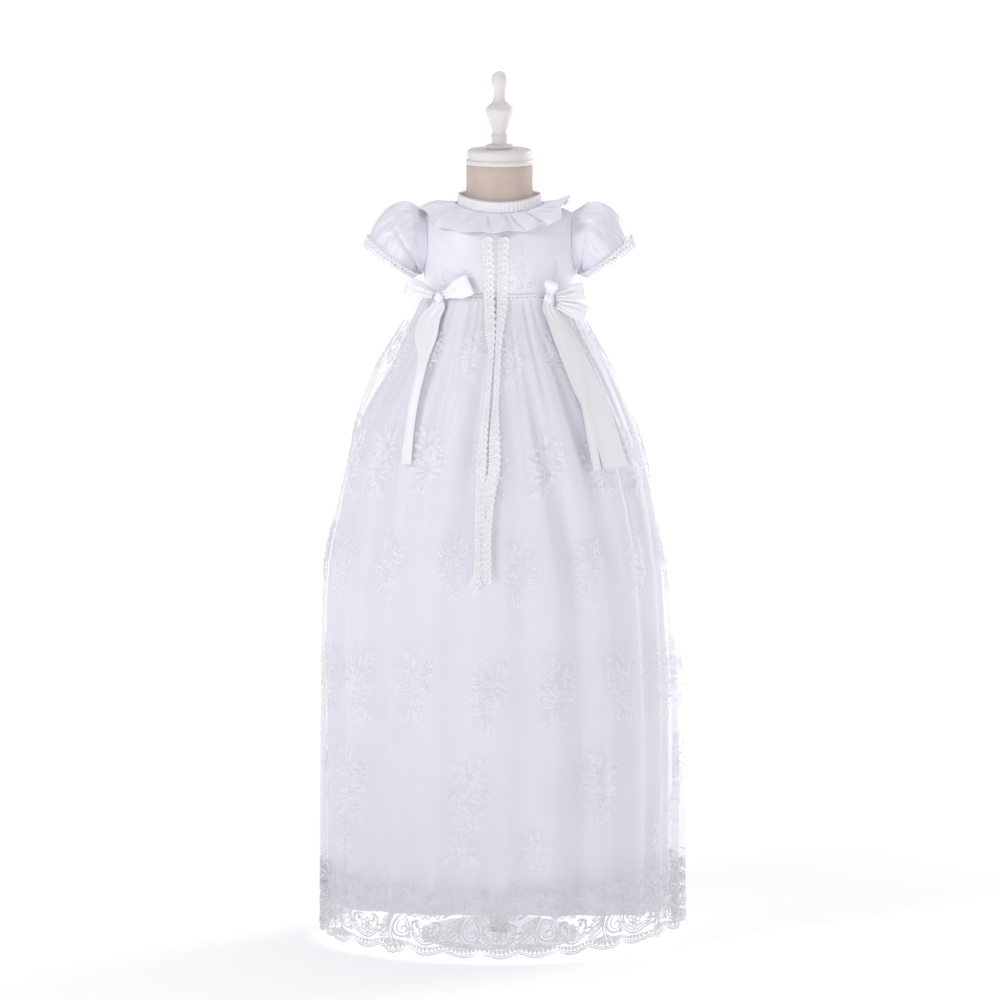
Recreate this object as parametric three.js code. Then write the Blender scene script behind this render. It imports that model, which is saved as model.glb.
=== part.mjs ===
// A long christening gown on a limbless child's dress form, built from its cut pieces.
// Millimetres, +Z up. The front faces -Y. The origin is on the floor, under the stand's pole.
// Left and right are the viewer's, looking at the front. Angles round the body start at the
// centre front and grow towards the viewer's right, so the centre back is 180 degrees.

import * as THREE from 'three';

// Cloth thicknesses, and the gap left at every seam
const SATIN = 1.2;
const NET = 1.0;
const RIBBON = 1.0;
const SEAM = 0.3;

// Main heights above the floor
const WAIST = 750;
const WAIST_STAND = 1.6;
const BORDER_TOP = 100;
const FORM_BOTTOM = 560;
const NECK_TOP = 897;

// The worn bodice from the waist up to the neck seam: how far each level reaches to the side,
// the front and the back, and how high it is there. The armhole runs from underarm to shoulder.
const UNDERARM = 1;
const SHOULDER = 5;
const NECK = 7;
const TORSO = [
  { level: 0, side: 85, sideUp: 750.3, front: 66, frontUp: 750.3, back: 62, backUp: 750.3 },
  { level: 1, side: 87.5, sideUp: 774, front: 69, frontUp: 774, back: 64, backUp: 775 },
  { level: 2, side: 88.5, sideUp: 790, front: 69.5, frontUp: 789, back: 65, backUp: 792 },
  { level: 3, side: 88.5, sideUp: 808, front: 68, frontUp: 803, back: 64.5, backUp: 808 },
  { level: 4, side: 87, sideUp: 826, front: 65, frontUp: 815, back: 62, backUp: 823 },
  { level: 5, side: 82, sideUp: 842, front: 60.5, frontUp: 826, back: 58, backUp: 835 },
  { level: 6, side: 66, sideUp: 848, front: 54, frontUp: 836, back: 52, backUp: 845 },
  { level: 7, side: 48, sideUp: 851.5, front: 46.5, frontUp: 846, back: 46, backUp: 853 },
];
const ARMHOLE_ANGLE = 22;
const BODICE_LEVELS = [0, 1, 1.15, 1.6, 2.3, 3, 3.7, 4.4, 4.85, 5, 6, 7];

// The satin skirt: how far it stands from the axis on each side at each height
const LINING = [
  { height: 45, left: 198, right: 195, front: 160, back: 160 },
  { height: 277, left: 198.5, right: 195, front: 157, back: 159 },
  { height: 372, left: 199.5, right: 190, front: 154, back: 158 },
  { height: 440, left: 195, right: 185.5, front: 149, back: 155 },
  { height: 505, left: 182, right: 177, front: 141, back: 149 },
  { height: 567, left: 169, right: 163.5, front: 130, back: 140 },
  { height: 600, left: 160, right: 153, front: 122, back: 132 },
  { height: 633, left: 143, right: 140, front: 112, back: 120 },
  { height: 665, left: 124, right: 125, front: 100, back: 106 },
  { height: 702, left: 107, right: 104, front: 85, back: 88 },
  { height: 735, left: 93, right: 89, front: 71, back: 69 },
  { height: 750, left: 85, right: 85, front: 66, back: 62 },
];

// How far the net stands out from the satin
const NET_STAND = [
  { height: 8, left: 10, right: 20, front: 10, back: 13 },
  { height: 277, left: 8.5, right: 18, front: 6, back: 9 },
  { height: 372, left: 6, right: 16, front: 5, back: 7 },
  { height: 440, left: 7, right: 11, front: 4, back: 6 },
  { height: 505, left: 6, right: 4.5, front: 3.5, back: 5 },
  { height: 567, left: 4, right: 4.2, front: 3.8, back: 4.2 },
  { height: 600, left: 7, right: 4.5, front: 4, back: 4.4 },
  { height: 633, left: 13, right: 5, front: 3.8, back: 5 },
  { height: 665, left: 19, right: 6, front: 3.2, back: 6 },
  { height: 702, left: 12, right: 4.5, front: 2.8, back: 5 },
  { height: 735, left: 4, right: 3, front: 2.4, back: 3 },
  { height: 750, left: WAIST_STAND, right: WAIST_STAND, front: WAIST_STAND, back: WAIST_STAND },
];
const LINING_HEM = { left: 44, front: 53, right: 36, back: 48 };
const NET_HEM = { left: 11, front: 5.5, right: 20, back: 9 };
const HEM_EASE_TOP = 300;

// Cells of the skirt's walls over its front or back half, at each height
const SKIRT_ROWS = [
  { height: HEM_EASE_TOP, cells: 30 },
  { height: 440, cells: 30 },
  { height: 550, cells: 30 },
  { height: 625, cells: 30 },
];
const LINING_TOP_ROWS = [
  { height: 672, cells: 30 },
  { height: 712, cells: 30 },
  { height: WAIST, cells: 30 },
];
const OVERLAY_TOP_ROWS = [
  { height: 672, cells: 60 },
  { height: 712, cells: 60 },
  { height: WAIST, cells: 60 },
];

// The skirt's large soft troughs: their angle at the waist and at the hem, depth and half width
const FOLDS = [
  { waist: -72, hem: -70, depth: 5, width: 9 },
  { waist: -50, hem: -46, depth: 6, width: 9 },
  { waist: -27, hem: -31, depth: 5, width: 8 },
  { waist: -9, hem: -15, depth: 4, width: 8 },
  { waist: 4, hem: 9, depth: 3.5, width: 8 },
  { waist: 13, hem: 29, depth: 6.5, width: 9 },
  { waist: 32, hem: 46, depth: 5, width: 8 },
  { waist: 55, hem: 64, depth: 6, width: 8 },
  { waist: 78, hem: 81, depth: 5, width: 8 },
  { waist: 101, hem: 99, depth: 5, width: 8 },
  { waist: 122, hem: 118, depth: 6, width: 9 },
  { waist: 146, hem: 140, depth: 5, width: 9 },
  { waist: 168, hem: 163, depth: 6, width: 9 },
  { waist: 190, hem: 186, depth: 5, width: 9 },
  { waist: 212, hem: 208, depth: 6, width: 9 },
  { waist: 233, hem: 232, depth: 5, width: 9 },
  { waist: 256, hem: 258, depth: 6, width: 9 },
];
const NET_TROUGH = 0.85;
const GATHERS = 30;
const GATHER_DEPTH = 1.8;
const GATHER_DROP = 110;
const GATHER_DRIFT = 1.1;
const SCALLOPS = 30;
const SCALLOP_DEPTH = 6;
const SCALLOP_FADE = 25;

// The puff sleeve as a fan of rings that turn about a point under the arm: how far each ring
// leans out from upright, how far its top reaches from that point, and its half depth
const SLEEVE_PIVOT = { out: 90, up: 765, near: 9.5 };
const SLEEVE = [
  { at: 0, lean: 2, reach: 82, depth: 28 },
  { at: 0.2, lean: 9, reach: 89, depth: 36 },
  { at: 0.4, lean: 21, reach: 90, depth: 42 },
  { at: 0.65, lean: 35, reach: 84.5, depth: 43 },
  { at: 0.85, lean: 48, reach: 77.5, depth: 40 },
  { at: 1, lean: 56, reach: 74.5, depth: 36 },
];
const SLEEVE_ROWS = [0, 0.14, 0.34, 0.6, 0.84, 1];
const SLEEVE_CELLS = 36;
const SLEEVE_GATHERS = 9;
const SLEEVE_GATHER_DEPTH = 1.2;
const SLEEVE_CREASE = { depth: 1.6, count: 4, slant: 3 };

// Neckband: its height, how far it leans in at the top, its thickness and its upright ribs
const BAND = { height: 11.5, lean: 1.5, thick: 1.2 };
const BAND_RIBS = 30;
const RIB_DEPTH = 0.8;

// Ruffled collar: the bodice levels of its gathered and free edges, how far the cloth stands out
// at each, its waves, and the place over the right shoulder where it flares up
const RUFFLE_TOP = 6.85;
const RUFFLE_EDGE = [
  { angle: -180, level: 5.14 },
  { angle: -120, level: 5.1 },
  { angle: -82, level: 5.02 },
  { angle: -60, level: 4.66 },
  { angle: -42, level: 4.42 },
  { angle: -20, level: 4.6 },
  { angle: 0, level: 4.76 },
  { angle: 25, level: 4.78 },
  { angle: 48, level: 4.95 },
  { angle: 72, level: 5.5 },
  { angle: 110, level: 5.3 },
  { angle: 150, level: 5.16 },
  { angle: 180, level: 5.14 },
];
const RUFFLE_STAND = { top: 1.9, edge: 2.8, wave: 4 };
const RUFFLE_FLARE = { angle: 74, spread: 13, stand: 10 };
const RUFFLE_WAVES = 13;
const RUFFLE_DRIFT = 1.2;
const RUFFLE_CELLS = 72;

// Leaf braid: length of one leaf, its width between leaves, height of its spine, and its seat
const LEAF = 7.2;
const LEAF_NECK = 0.72;
const BRAID_RISE = 2.4;
const BRAID_SEAT = 0.6;
const CUFF_BRAID = { leaves: 28, high: 6.2, past: 3, notch: 1.5 };

// Where the two front braids run: their middle, half width and distance out at each height
const BRAID_LEFT = [
  { height: 429, middle: -32, half: 6.3, out: 0.6 },
  { height: 452, middle: -23.5, half: 6.4, out: 0.6 },
  { height: 506, middle: -22.5, half: 6.4, out: 0.6 },
  { height: 588, middle: -20, half: 5.8, out: 0.6 },
  { height: 641, middle: -14.4, half: 3, out: 0.6 },
  { height: 698, middle: -10, half: 3.4, out: 0.6 },
  { height: 714, middle: -11.2, half: 6, out: 0.6 },
  { height: 748, middle: -11.8, half: 6.4, out: 0.6 },
  { height: 824, middle: -14.4, half: 6.8, out: 0.6 },
];
const BRAID_RIGHT = [
  { height: 438, middle: -14.4, half: 4.6, out: 3.8 },
  { height: 495, middle: -14.2, half: 4.6, out: 3.8 },
  { height: 515, middle: -12, half: 3.4, out: 3.8 },
  { height: 543, middle: -11, half: 6.6, out: 3.8 },
  { height: 566, middle: -6.5, half: 6.8, out: 3 },
  { height: 596, middle: -6, half: 6.6, out: 2 },
  { height: 641, middle: -4.8, half: 3.2, out: 0.9 },
  { height: 675, middle: -2.7, half: 3.2, out: 0.9 },
  { height: 708, middle: -1.2, half: 3.6, out: 0.9 },
  { height: 748, middle: 2.6, half: 6.4, out: 0.9 },
  { height: 824, middle: 4, half: 6.8, out: 0.9 },
];

// Ribbon tails of the bows: their left and right edges at each height
const TAIL_LEFT = [
  { height: 566, left: -112, right: -100.5 },
  { height: 602, left: -108, right: -97.5 },
  { height: 640, left: -102, right: -91.5 },
  { height: 682, left: -93, right: -81 },
  { height: 706, left: -97, right: -72 },
  { height: 728, left: -90, right: -67 },
  { height: 741, left: -80, right: -60 },
];
const TAIL_RIGHT_FRONT = [
  { height: 559, left: 107.5, right: 115.6 },
  { height: 598, left: 99.5, right: 108.7 },
  { height: 632, left: 92.6, right: 99.5 },
  { height: 650, left: 84, right: 99 },
  { height: 680, left: 72, right: 92.6 },
  { height: 705, left: 62, right: 82 },
  { height: 725, left: 55, right: 72 },
  { height: 741, left: 46, right: 60 },
];
const TAIL_RIGHT_SIDE = [
  { height: 559, left: 119, right: 147 },
  { height: 597, left: 108, right: 135 },
  { height: 632, left: 98, right: 124 },
  { height: 658, left: 90, right: 112 },
  { height: 680, left: 81, right: 101 },
  { height: 705, left: 71, right: 88 },
  { height: 720, left: 60, right: 78 },
];
const TAIL_LIFT = 0.65;
const TAIL_OVER = TAIL_LIFT + RIBBON + 0.6;

// The waist bows: where each knot sits, and its loops from root to tip. A tip is given as
// sideways, forward and up from the knot, and span is the direction of the ribbon's width there.
const KNOT = { across: 7.5, deep: 5, tall: 7 };
const LEFT_KNOT = { angle: -46, out: 2.95 };
const RIGHT_KNOT = { angle: 36.5, out: 2.1 };
const LOOP_ROOT = { width: 9, apart: 1.6 };
const LOOP_LEFT_OUT = { tip: [-37, -2, 13], span: [0.7, 0, 0.7], bulge: 6, width: 21 };
const LOOP_LEFT_IN = { tip: [35, 21, 17], span: [-0.35, 0, 0.95], bulge: 4, width: 24 };
const LOOP_RIGHT_UP = { tip: [3, 17, 19], span: [0.85, 0, -0.5], bulge: 4, width: 15 };
const LOOP_RIGHT_SIDE = { tip: [39, -9, 7], span: [-0.05, 0, 1], bulge: 4, width: 19 };
const LOOP_RIGHT_LOW = { tip: [40, -19, -15], span: [0.1, 0, 1], bulge: 3, width: 19, drop: 5, out: 2.2 };

// Centre back placket and buttons
const PLACKET = { half: 7, low: 0.05, high: 4.75 };
const BUTTON = { radius: 5.2, thick: 2.6, levels: [0.5, 1.8, 3.1, 4.3] };

// Dress form and stand
const FORM_LOW = [
  { height: FORM_BOTTOM, side: 66, front: 52, back: 54 },
  { height: 566, side: 72, front: 57, back: 59 },
  { height: 620, side: 82, front: 62, back: 64 },
  { height: 690, side: 84, front: 63, back: 62 },
  { height: 738, side: 82, front: 63, back: 59.5 },
];
const FORM_NECK = [
  { height: 857, radius: 41 },
  { height: 866, radius: 38.3 },
  { height: NECK_TOP, radius: 38 },
];
const FORM_CELLS = 32;
const FORM_LEVELS = [0.3, 1.5, 3, 4.2, SHOULDER, 6, NECK];
const FORM_EASE = 1.5;
const SHOULDER_EASE = 0.8;
const CAP = { radius: 38.5, top: 915, rim: 6, step: 1.5, round: 4 };
const FINIAL = [
  { height: 0, radius: 15 },
  { height: 4, radius: 15.5 },
  { height: 6, radius: 9 },
  { height: 15, radius: 9.8 },
  { height: 18, radius: 8 },
  { height: 32, radius: 12.5 },
  { height: 44, radius: 16 },
  { height: 48, radius: 14 },
  { height: 55, radius: 7.7 },
  { height: 70, radius: 7.4 },
  { height: 73, radius: 9 },
  { height: 80, radius: 9.3 },
  { height: 86, radius: 6.5 },
  { height: 89, radius: 0 },
];
const POLE_RADIUS = 11;
const BASE = { radius: 90, thick: 7, round: 2.5 };

const { degToRad, radToDeg, lerp, clamp, smoothstep } = THREE.MathUtils;

// Reads one column of a table between its rows, along a smooth curve
function columnAt(table, key, at, column) {
  const last = table.length - 1;
  let k = 0;
  while (k < last - 1 && at > table[k + 1][key]) {
    k += 1;
  }
  const slope = (i) => {
    const before = table[Math.max(i - 1, 0)];
    const after = table[Math.min(i + 1, last)];
    return (after[column] - before[column]) / (after[key] - before[key]);
  };
  const [from, to] = [table[k], table[k + 1]];
  const span = to[key] - from[key];
  const t = clamp((at - from[key]) / span, 0, 1);
  const rise = t * t * (3 - 2 * t);
  const leaving = t * (1 - t) * (1 - t) * span * slope(k);
  const arriving = t * t * (t - 1) * span * slope(k + 1);
  return lerp(from[column], to[column], rise) + leaving + arriving;
}

// Outward direction of a surface at a place, from its points just beside it
function normalAt(surface, u, v) {
  const step = 1e-3;
  const along = surface(u + step, v).sub(surface(u - step, v));
  const up = surface(u, v + step).sub(surface(u, v - step));
  return along.cross(up).normalize();
}

function movedOut(surface, u, v, distance) {
  return surface(u, v).addScaledVector(normalAt(surface, u, v), distance);
}

function pushTriangle(faces, a, b, c) {
  faces.push(a.x, a.y, a.z, b.x, b.y, b.z, c.x, c.y, c.z);
}

function pushQuad(faces, a, b, c, d) {
  pushTriangle(faces, a, b, c);
  pushTriangle(faces, a, c, d);
}

// Joins two rows of points with faces. One row may have twice the cells of the other.
function joinRows(faces, lower, upper) {
  if (lower.length === upper.length) {
    for (let i = 0; i + 1 < lower.length; i += 1) {
      pushQuad(faces, lower[i], lower[i + 1], upper[i + 1], upper[i]);
    }
    return;
  }
  const upperIsFine = upper.length > lower.length;
  const coarse = upperIsFine ? lower : upper;
  const fine = upperIsFine ? upper : lower;
  for (let i = 0; i + 1 < coarse.length; i += 1) {
    const [a, b] = [coarse[i], coarse[i + 1]];
    const [p, q, r] = [fine[2 * i], fine[2 * i + 1], fine[2 * i + 2]];
    if (upperIsFine) {
      pushTriangle(faces, a, b, q);
      pushTriangle(faces, a, q, p);
      pushTriangle(faces, b, r, q);
    } else {
      pushTriangle(faces, p, q, a);
      pushTriangle(faces, q, b, a);
      pushTriangle(faces, q, r, b);
    }
  }
}

function geometryOf(faces) {
  const geometry = new THREE.BufferGeometry();
  geometry.setAttribute('position', new THREE.Float32BufferAttribute(faces, 3));
  geometry.computeVertexNormals();
  return geometry;
}

// A wall of cloth. surface(u, v) gives its outer points, u round and v from the low edge to the
// high one. rows lists v and the cells of each row. inside, where given, is its plain inner face.
function clothWall(surface, rows, { thick, closed = false, inside = null }) {
  const innerPoint = inside ?? ((u, v) => movedOut(surface, u, v, -thick));
  const rowOf = (point, { v, cells }) => {
    const points = [];
    for (let i = 0; i < cells; i += 1) {
      points.push(point(i / cells, v));
    }
    points.push(closed ? points[0] : point(1, v));
    return points;
  };
  const outer = rows.map((row) => rowOf(surface, row));
  const inner = rows.map((row) => rowOf(innerPoint, row));
  const faces = [];
  for (let j = 0; j + 1 < rows.length; j += 1) {
    joinRows(faces, outer[j], outer[j + 1]);
    joinRows(faces, [...inner[j]].reverse(), [...inner[j + 1]].reverse());
  }
  joinRows(faces, inner[0], outer[0]);
  joinRows(faces, outer.at(-1), inner.at(-1));
  if (!closed) {
    joinRows(faces, inner.map((row) => row[0]).reverse(), outer.map((row) => row[0]).reverse());
    joinRows(faces, inner.map((row) => row.at(-1)), outer.map((row) => row.at(-1)));
  }
  return geometryOf(faces);
}

// A solid swept through three-cornered sections. A closed one runs back to its start.
function ridgeSweep(sections, closed) {
  const faces = [];
  const rings = sections.map((section) => [...section, section[0]]);
  if (closed) {
    rings.push(rings[0]);
  } else {
    pushTriangle(faces, rings[0][0], rings[0][2], rings[0][1]);
    pushTriangle(faces, rings.at(-1)[0], rings.at(-1)[1], rings.at(-1)[2]);
  }
  for (let j = 0; j + 1 < rings.length; j += 1) {
    joinRows(faces, rings[j], rings[j + 1]);
  }
  return geometryOf(faces);
}

function evenRows(count, cells) {
  return Array.from({ length: count + 1 }, (_, j) => ({ v: j / count, cells }));
}

// A closed solid through rings of points from the lowest to the highest, with flat ends
function ringSolid(rings) {
  const faces = [];
  const closedRings = rings.map((ring) => [...ring, ring[0]]);
  for (let j = 0; j + 1 < closedRings.length; j += 1) {
    joinRows(faces, closedRings[j], closedRings[j + 1]);
  }
  const cap = (ring, facingUp) => {
    const middle = ring.reduce((sum, p) => sum.add(p), new THREE.Vector3()).divideScalar(ring.length);
    for (let i = 0; i < ring.length; i += 1) {
      const [a, b] = [ring[i], ring[(i + 1) % ring.length]];
      pushTriangle(faces, middle, facingUp ? a : b, facingUp ? b : a);
    }
  };
  cap(rings[0], false);
  cap(rings.at(-1), true);
  return geometryOf(faces);
}

// Point of an oval round the body, by the angle from the centre front
function roundBody(angle, { left, right, front, back }, height) {
  const sine = Math.sin(degToRad(angle));
  const cosine = Math.cos(degToRad(angle));
  const x = sine * (sine > 0 ? right : left);
  const y = -cosine * (cosine > 0 ? front : back);
  return new THREE.Vector3(x, y, height);
}

// Half of a seam's gap as an angle, where the body is this deep
function seamAngle(depth) {
  return radToDeg(SEAM / 2 / depth);
}

// Point of the worn bodice at an angle and a level
function torsoPoint(angle, level) {
  const read = (name) => columnAt(TORSO, 'level', level, name);
  const side = read('side');
  const oval = { left: side, right: side, front: read('front'), back: read('back') };
  const point = roundBody(angle, oval, 0);
  const sideShare = Math.sin(degToRad(angle)) ** 2;
  const endName = Math.cos(degToRad(angle)) > 0 ? 'frontUp' : 'backUp';
  point.z = lerp(read(endName), read('sideUp'), sideShare);
  return point;
}

// Half of the armhole's opening at a level, as an angle. It is an oval.
function armholeAngle(level) {
  const middle = (UNDERARM + SHOULDER) / 2;
  const part = (level - middle) / (SHOULDER - middle);
  const open = ARMHOLE_ANGLE * Math.sqrt(Math.max(0, 1 - part * part));
  return Math.max(open, seamAngle(TORSO[0].front));
}

const bodiceRows = (cells) => BODICE_LEVELS.map((level) => ({ v: level / NECK, cells }));

function bodiceFront() {
  const surface = (u, v) => {
    const edge = 90 - armholeAngle(v * NECK);
    return torsoPoint(lerp(-edge, edge, u), v * NECK);
  };
  return clothWall(surface, bodiceRows(16), { thick: SATIN });
}

function bodiceBack(side) {
  const surface = (u, v) => {
    const edge = 90 + armholeAngle(v * NECK);
    const middle = 180 - seamAngle(TORSO[0].back);
    return torsoPoint(side > 0 ? lerp(edge, middle, u) : lerp(-middle, -edge, u), v * NECK);
  };
  return clothWall(surface, bodiceRows(8), { thick: SATIN });
}

// Blends four values given for left, right, front and back by the angle
function roundValue(angle, { left, right, front, back }) {
  const sideShare = Math.sin(degToRad(angle)) ** 2;
  const side = Math.sin(degToRad(angle)) > 0 ? right : left;
  const end = Math.cos(degToRad(angle)) > 0 ? front : back;
  return lerp(end, side, sideShare);
}

function readRound(table, height) {
  const read = (name) => columnAt(table, 'height', height, name);
  return { left: read('left'), right: read('right'), front: read('front'), back: read('back') };
}

// How far the skirt's troughs pull in at an angle and a height
function troughDepth(angle, height) {
  const down = (WAIST - height) / WAIST;
  const grown = smoothstep(down, 0, 0.25);
  const turned = smoothstep(down, 0, 0.5);
  let depth = 0;
  for (const fold of FOLDS) {
    const middle = lerp(fold.waist, fold.hem, turned);
    const width = lerp(5, fold.width, turned);
    const away = Math.abs(((angle - middle + 540) % 360) - 180) / width;
    if (away < 1) {
      depth += fold.depth * grown * Math.cos((away * Math.PI) / 2) ** 2;
    }
  }
  return depth;
}

function gatherLift(angle, height) {
  const fade = 1 - smoothstep(WAIST - height, 0, GATHER_DROP);
  const phase = degToRad(angle) * GATHERS + GATHER_DRIFT * Math.sin(degToRad(angle) * 3);
  return GATHER_DEPTH * fade * (0.5 + 0.5 * Math.cos(phase));
}

// Lets a hem's height differ round the skirt while the rows above stay level
function easedHeight(height, nominalHem, hemHere) {
  if (height >= HEM_EASE_TOP) {
    return height;
  }
  return lerp(hemHere, HEM_EASE_TOP, (height - nominalHem) / (HEM_EASE_TOP - nominalHem));
}

function awayFromAxis(point, distance) {
  const scale = 1 + distance / Math.hypot(point.x, point.y);
  point.x *= scale;
  point.y *= scale;
  return point;
}

function liningPoint(angle, height) {
  const hem = LINING[0].height;
  const z = easedHeight(height, hem, roundValue(angle, LINING_HEM));
  const point = roundBody(angle, readRound(LINING, Math.max(height, hem)), z);
  return awayFromAxis(point, -troughDepth(angle, height));
}

// The net over the skirt. envelope leaves out its troughs, for what hangs over them.
function overlayPoint(angle, height, envelope = false) {
  const hem = NET_STAND[0].height;
  const z = easedHeight(height, hem, roundValue(angle, NET_HEM));
  const oval = readRound(LINING, Math.max(height, LINING[0].height));
  const point = roundBody(angle, oval, z);
  const stand = roundValue(angle, readRound(NET_STAND, height));
  const trough = NET_TROUGH * troughDepth(angle, height);
  const puff = envelope ? GATHER_DEPTH : gatherLift(angle, height) - trough;
  return awayFromAxis(point, stand + puff);
}

// Angles of the front or back half of the skirt between its side seams, at a height
function halfAngle(half, u, height) {
  const gap = seamAngle(columnAt(LINING, 'height', Math.max(height, LINING[0].height), 'front'));
  const start = half === 'front' ? -90 : 90;
  return lerp(start + gap, start + 180 - gap, u);
}

function skirtWall(half, low, high, heights, point, thick) {
  const surface = (u, v) => {
    const height = lerp(low, high, v);
    return point(halfAngle(half, u, height), height);
  };
  const rows = heights.map(({ height, cells }) => ({ v: (height - low) / (high - low), cells }));
  return clothWall(surface, rows, { thick });
}

function liningHalf(half) {
  const low = LINING[0].height;
  const rows = [{ height: low, cells: 30 }, ...SKIRT_ROWS, ...LINING_TOP_ROWS];
  return skirtWall(half, low, WAIST, rows, liningPoint, SATIN);
}

function overlayHalf(half) {
  const low = BORDER_TOP + SEAM / 2;
  const rows = [{ height: low, cells: 30 }, ...SKIRT_ROWS, ...OVERLAY_TOP_ROWS];
  return skirtWall(half, low, WAIST, rows, overlayPoint, NET);
}

// The lace border carries on from the net, and its low edge is scalloped
function borderHalf(half) {
  const low = NET_STAND[0].height;
  const high = BORDER_TOP - SEAM / 2;
  const scalloped = (angle, height) => {
    const point = overlayPoint(angle, height);
    const rise = SCALLOP_DEPTH * (1 - Math.abs(Math.cos(degToRad(angle) * (SCALLOPS / 2))));
    point.z += rise * (1 - smoothstep(height, low, low + SCALLOP_FADE));
    return point;
  };
  const rows = [
    { height: low, cells: 60 },
    { height: low + SCALLOP_FADE, cells: 60 },
    { height: high, cells: 30 },
  ];
  return skirtWall(half, low, high, rows, scalloped, NET);
}

// The sleeve's point. part goes round from its top, v from the armhole to the cuff. Smooth
// leaves out the gathers and keeps outside them, for the braid on the cuff.
function sleevePoint(side, part, v, smooth = false) {
  const turn = side < 0 ? part : -part;
  const round = turn * 2 * Math.PI;
  const read = (name) => columnAt(SLEEVE, 'at', clamp(v, 0, 1), name);
  const lean = degToRad(read('lean'));
  const { out, up, near } = SLEEVE_PIVOT;
  const half = (read('reach') - near) / 2;
  const atCuff = smoothstep(v, 0.55, 1);
  const atHead = (1 - smoothstep(v, 0.05, 0.5)) * smoothstep(v, 0, 0.1) * Math.max(0, Math.cos(round));
  const wave = smooth ? 1 : Math.cos(round * SLEEVE_GATHERS);
  const { depth, count, slant } = SLEEVE_CREASE;
  const crease = depth * Math.sin(Math.PI * v) * (smooth ? 1 : Math.sin(round * count + v * slant));
  const lift = SLEEVE_GATHER_DEPTH * wave * (atCuff + atHead) + crease;
  const middle = near + half;
  const along = middle + (half + lift) * Math.cos(round);
  const point = new THREE.Vector3(
    side * (out + along * Math.sin(lean)),
    (read('depth') + lift) * Math.sin(round),
    up + along * Math.cos(lean),
  );
  const blend = smoothstep(v, 0, 0.12);
  return blend < 1 ? armholeEdge(side, round).lerp(point, blend) : point;
}

// The armhole's edge, just outside the bodice
function armholeEdge(side, round) {
  const middle = (UNDERARM + SHOULDER) / 2;
  const level = middle + (SHOULDER - middle) * Math.cos(round);
  const angle = side * (90 + ARMHOLE_ANGLE * Math.sin(round));
  const bodice = (u, v) => torsoPoint(u * 360, v * NECK);
  return movedOut(bodice, angle / 360, level / NECK, SEAM + 0.15);
}

function sleeve(side) {
  const surface = (u, v) => sleevePoint(side, u, v);
  const rows = SLEEVE_ROWS.map((v) => ({ v, cells: SLEEVE_CELLS }));
  return clothWall(surface, rows, { thick: SATIN, closed: true });
}

// Leaf braid round the cuff: a ridge with leaf tips along both edges
function cuffBraid(side) {
  const base = (u, v) => sleevePoint(side, u, v, true);
  const { leaves, high, past, notch } = CUFF_BRAID;
  const sectionAt = (u) => {
    const run = base(u, 1).sub(base(u, 0.9));
    const length = run.length() / 0.1;
    const narrow = notch * (0.5 + 0.5 * Math.cos(u * leaves * 2 * Math.PI));
    const top = Math.min(high - narrow, 0.5 * length);
    const tip = base(u, 1).addScaledVector(run.normalize(), past - narrow);
    const onSleeve = (back, out) => movedOut(base, u, 1 - back / length, out);
    const outward = normalAt(base, u, 0.985);
    return [
      onSleeve(top, BRAID_SEAT),
      onSleeve(0, BRAID_SEAT + BRAID_RISE),
      tip.addScaledVector(outward, BRAID_SEAT),
    ];
  };
  const count = leaves * 2;
  const sections = Array.from({ length: count }, (_, i) => sectionAt(i / count));
  return ridgeSweep(sections.reverse(), true);
}

function neckband() {
  const gap = seamAngle(TORSO[NECK].back);
  const wall = (out) => (u, v) => {
    const point = torsoPoint(lerp(-180 + gap, 180 - gap, u), NECK);
    awayFromAxis(point, out - BAND.lean * v);
    point.z += lerp(SEAM, BAND.height, v);
    return point;
  };
  const ribbed = (u, v) => {
    const rib = Math.round(u * BAND_RIBS * 2) % 2;
    return wall(RIB_DEPTH * rib)(u, v);
  };
  return clothWall(ribbed, evenRows(1, BAND_RIBS * 2), { inside: wall(-BAND.thick) });
}

// The collar ruffle lies on the bodice round the neck, and its free edge waves. v is 0 there.
function rufflePoint(u, v) {
  const gap = seamAngle(TORSO[NECK].back);
  const angle = lerp(-180 + gap, 180 - gap, u);
  const bodice = (a, b) => torsoPoint(a * 360, b * NECK);
  const level = lerp(columnAt(RUFFLE_EDGE, 'angle', angle, 'level'), RUFFLE_TOP, v);
  const free = Math.max(0, 1 - v) ** 1.2;
  const phase = degToRad(angle) * RUFFLE_WAVES + RUFFLE_DRIFT * Math.sin(degToRad(angle) * 2);
  const flare = RUFFLE_FLARE.stand * Math.exp(-(((angle - RUFFLE_FLARE.angle) / RUFFLE_FLARE.spread) ** 2));
  const { top, edge, wave } = RUFFLE_STAND;
  const lift = top + (edge + wave * (1 + Math.cos(phase)) + flare) * free;
  return movedOut(bodice, angle / 360, level / NECK, lift);
}

function collarRuffle() {
  return clothWall(rufflePoint, evenRows(3, RUFFLE_CELLS), { thick: SATIN });
}

// Level of the bodice whose front is at this height
function levelAtFront(height) {
  let [low, high] = [0, NECK];
  for (let i = 0; i < 30; i += 1) {
    const middle = (low + high) / 2;
    if (columnAt(TORSO, 'level', middle, 'frontUp') < height) {
      low = middle;
    } else {
      high = middle;
    }
  }
  return low;
}

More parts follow.
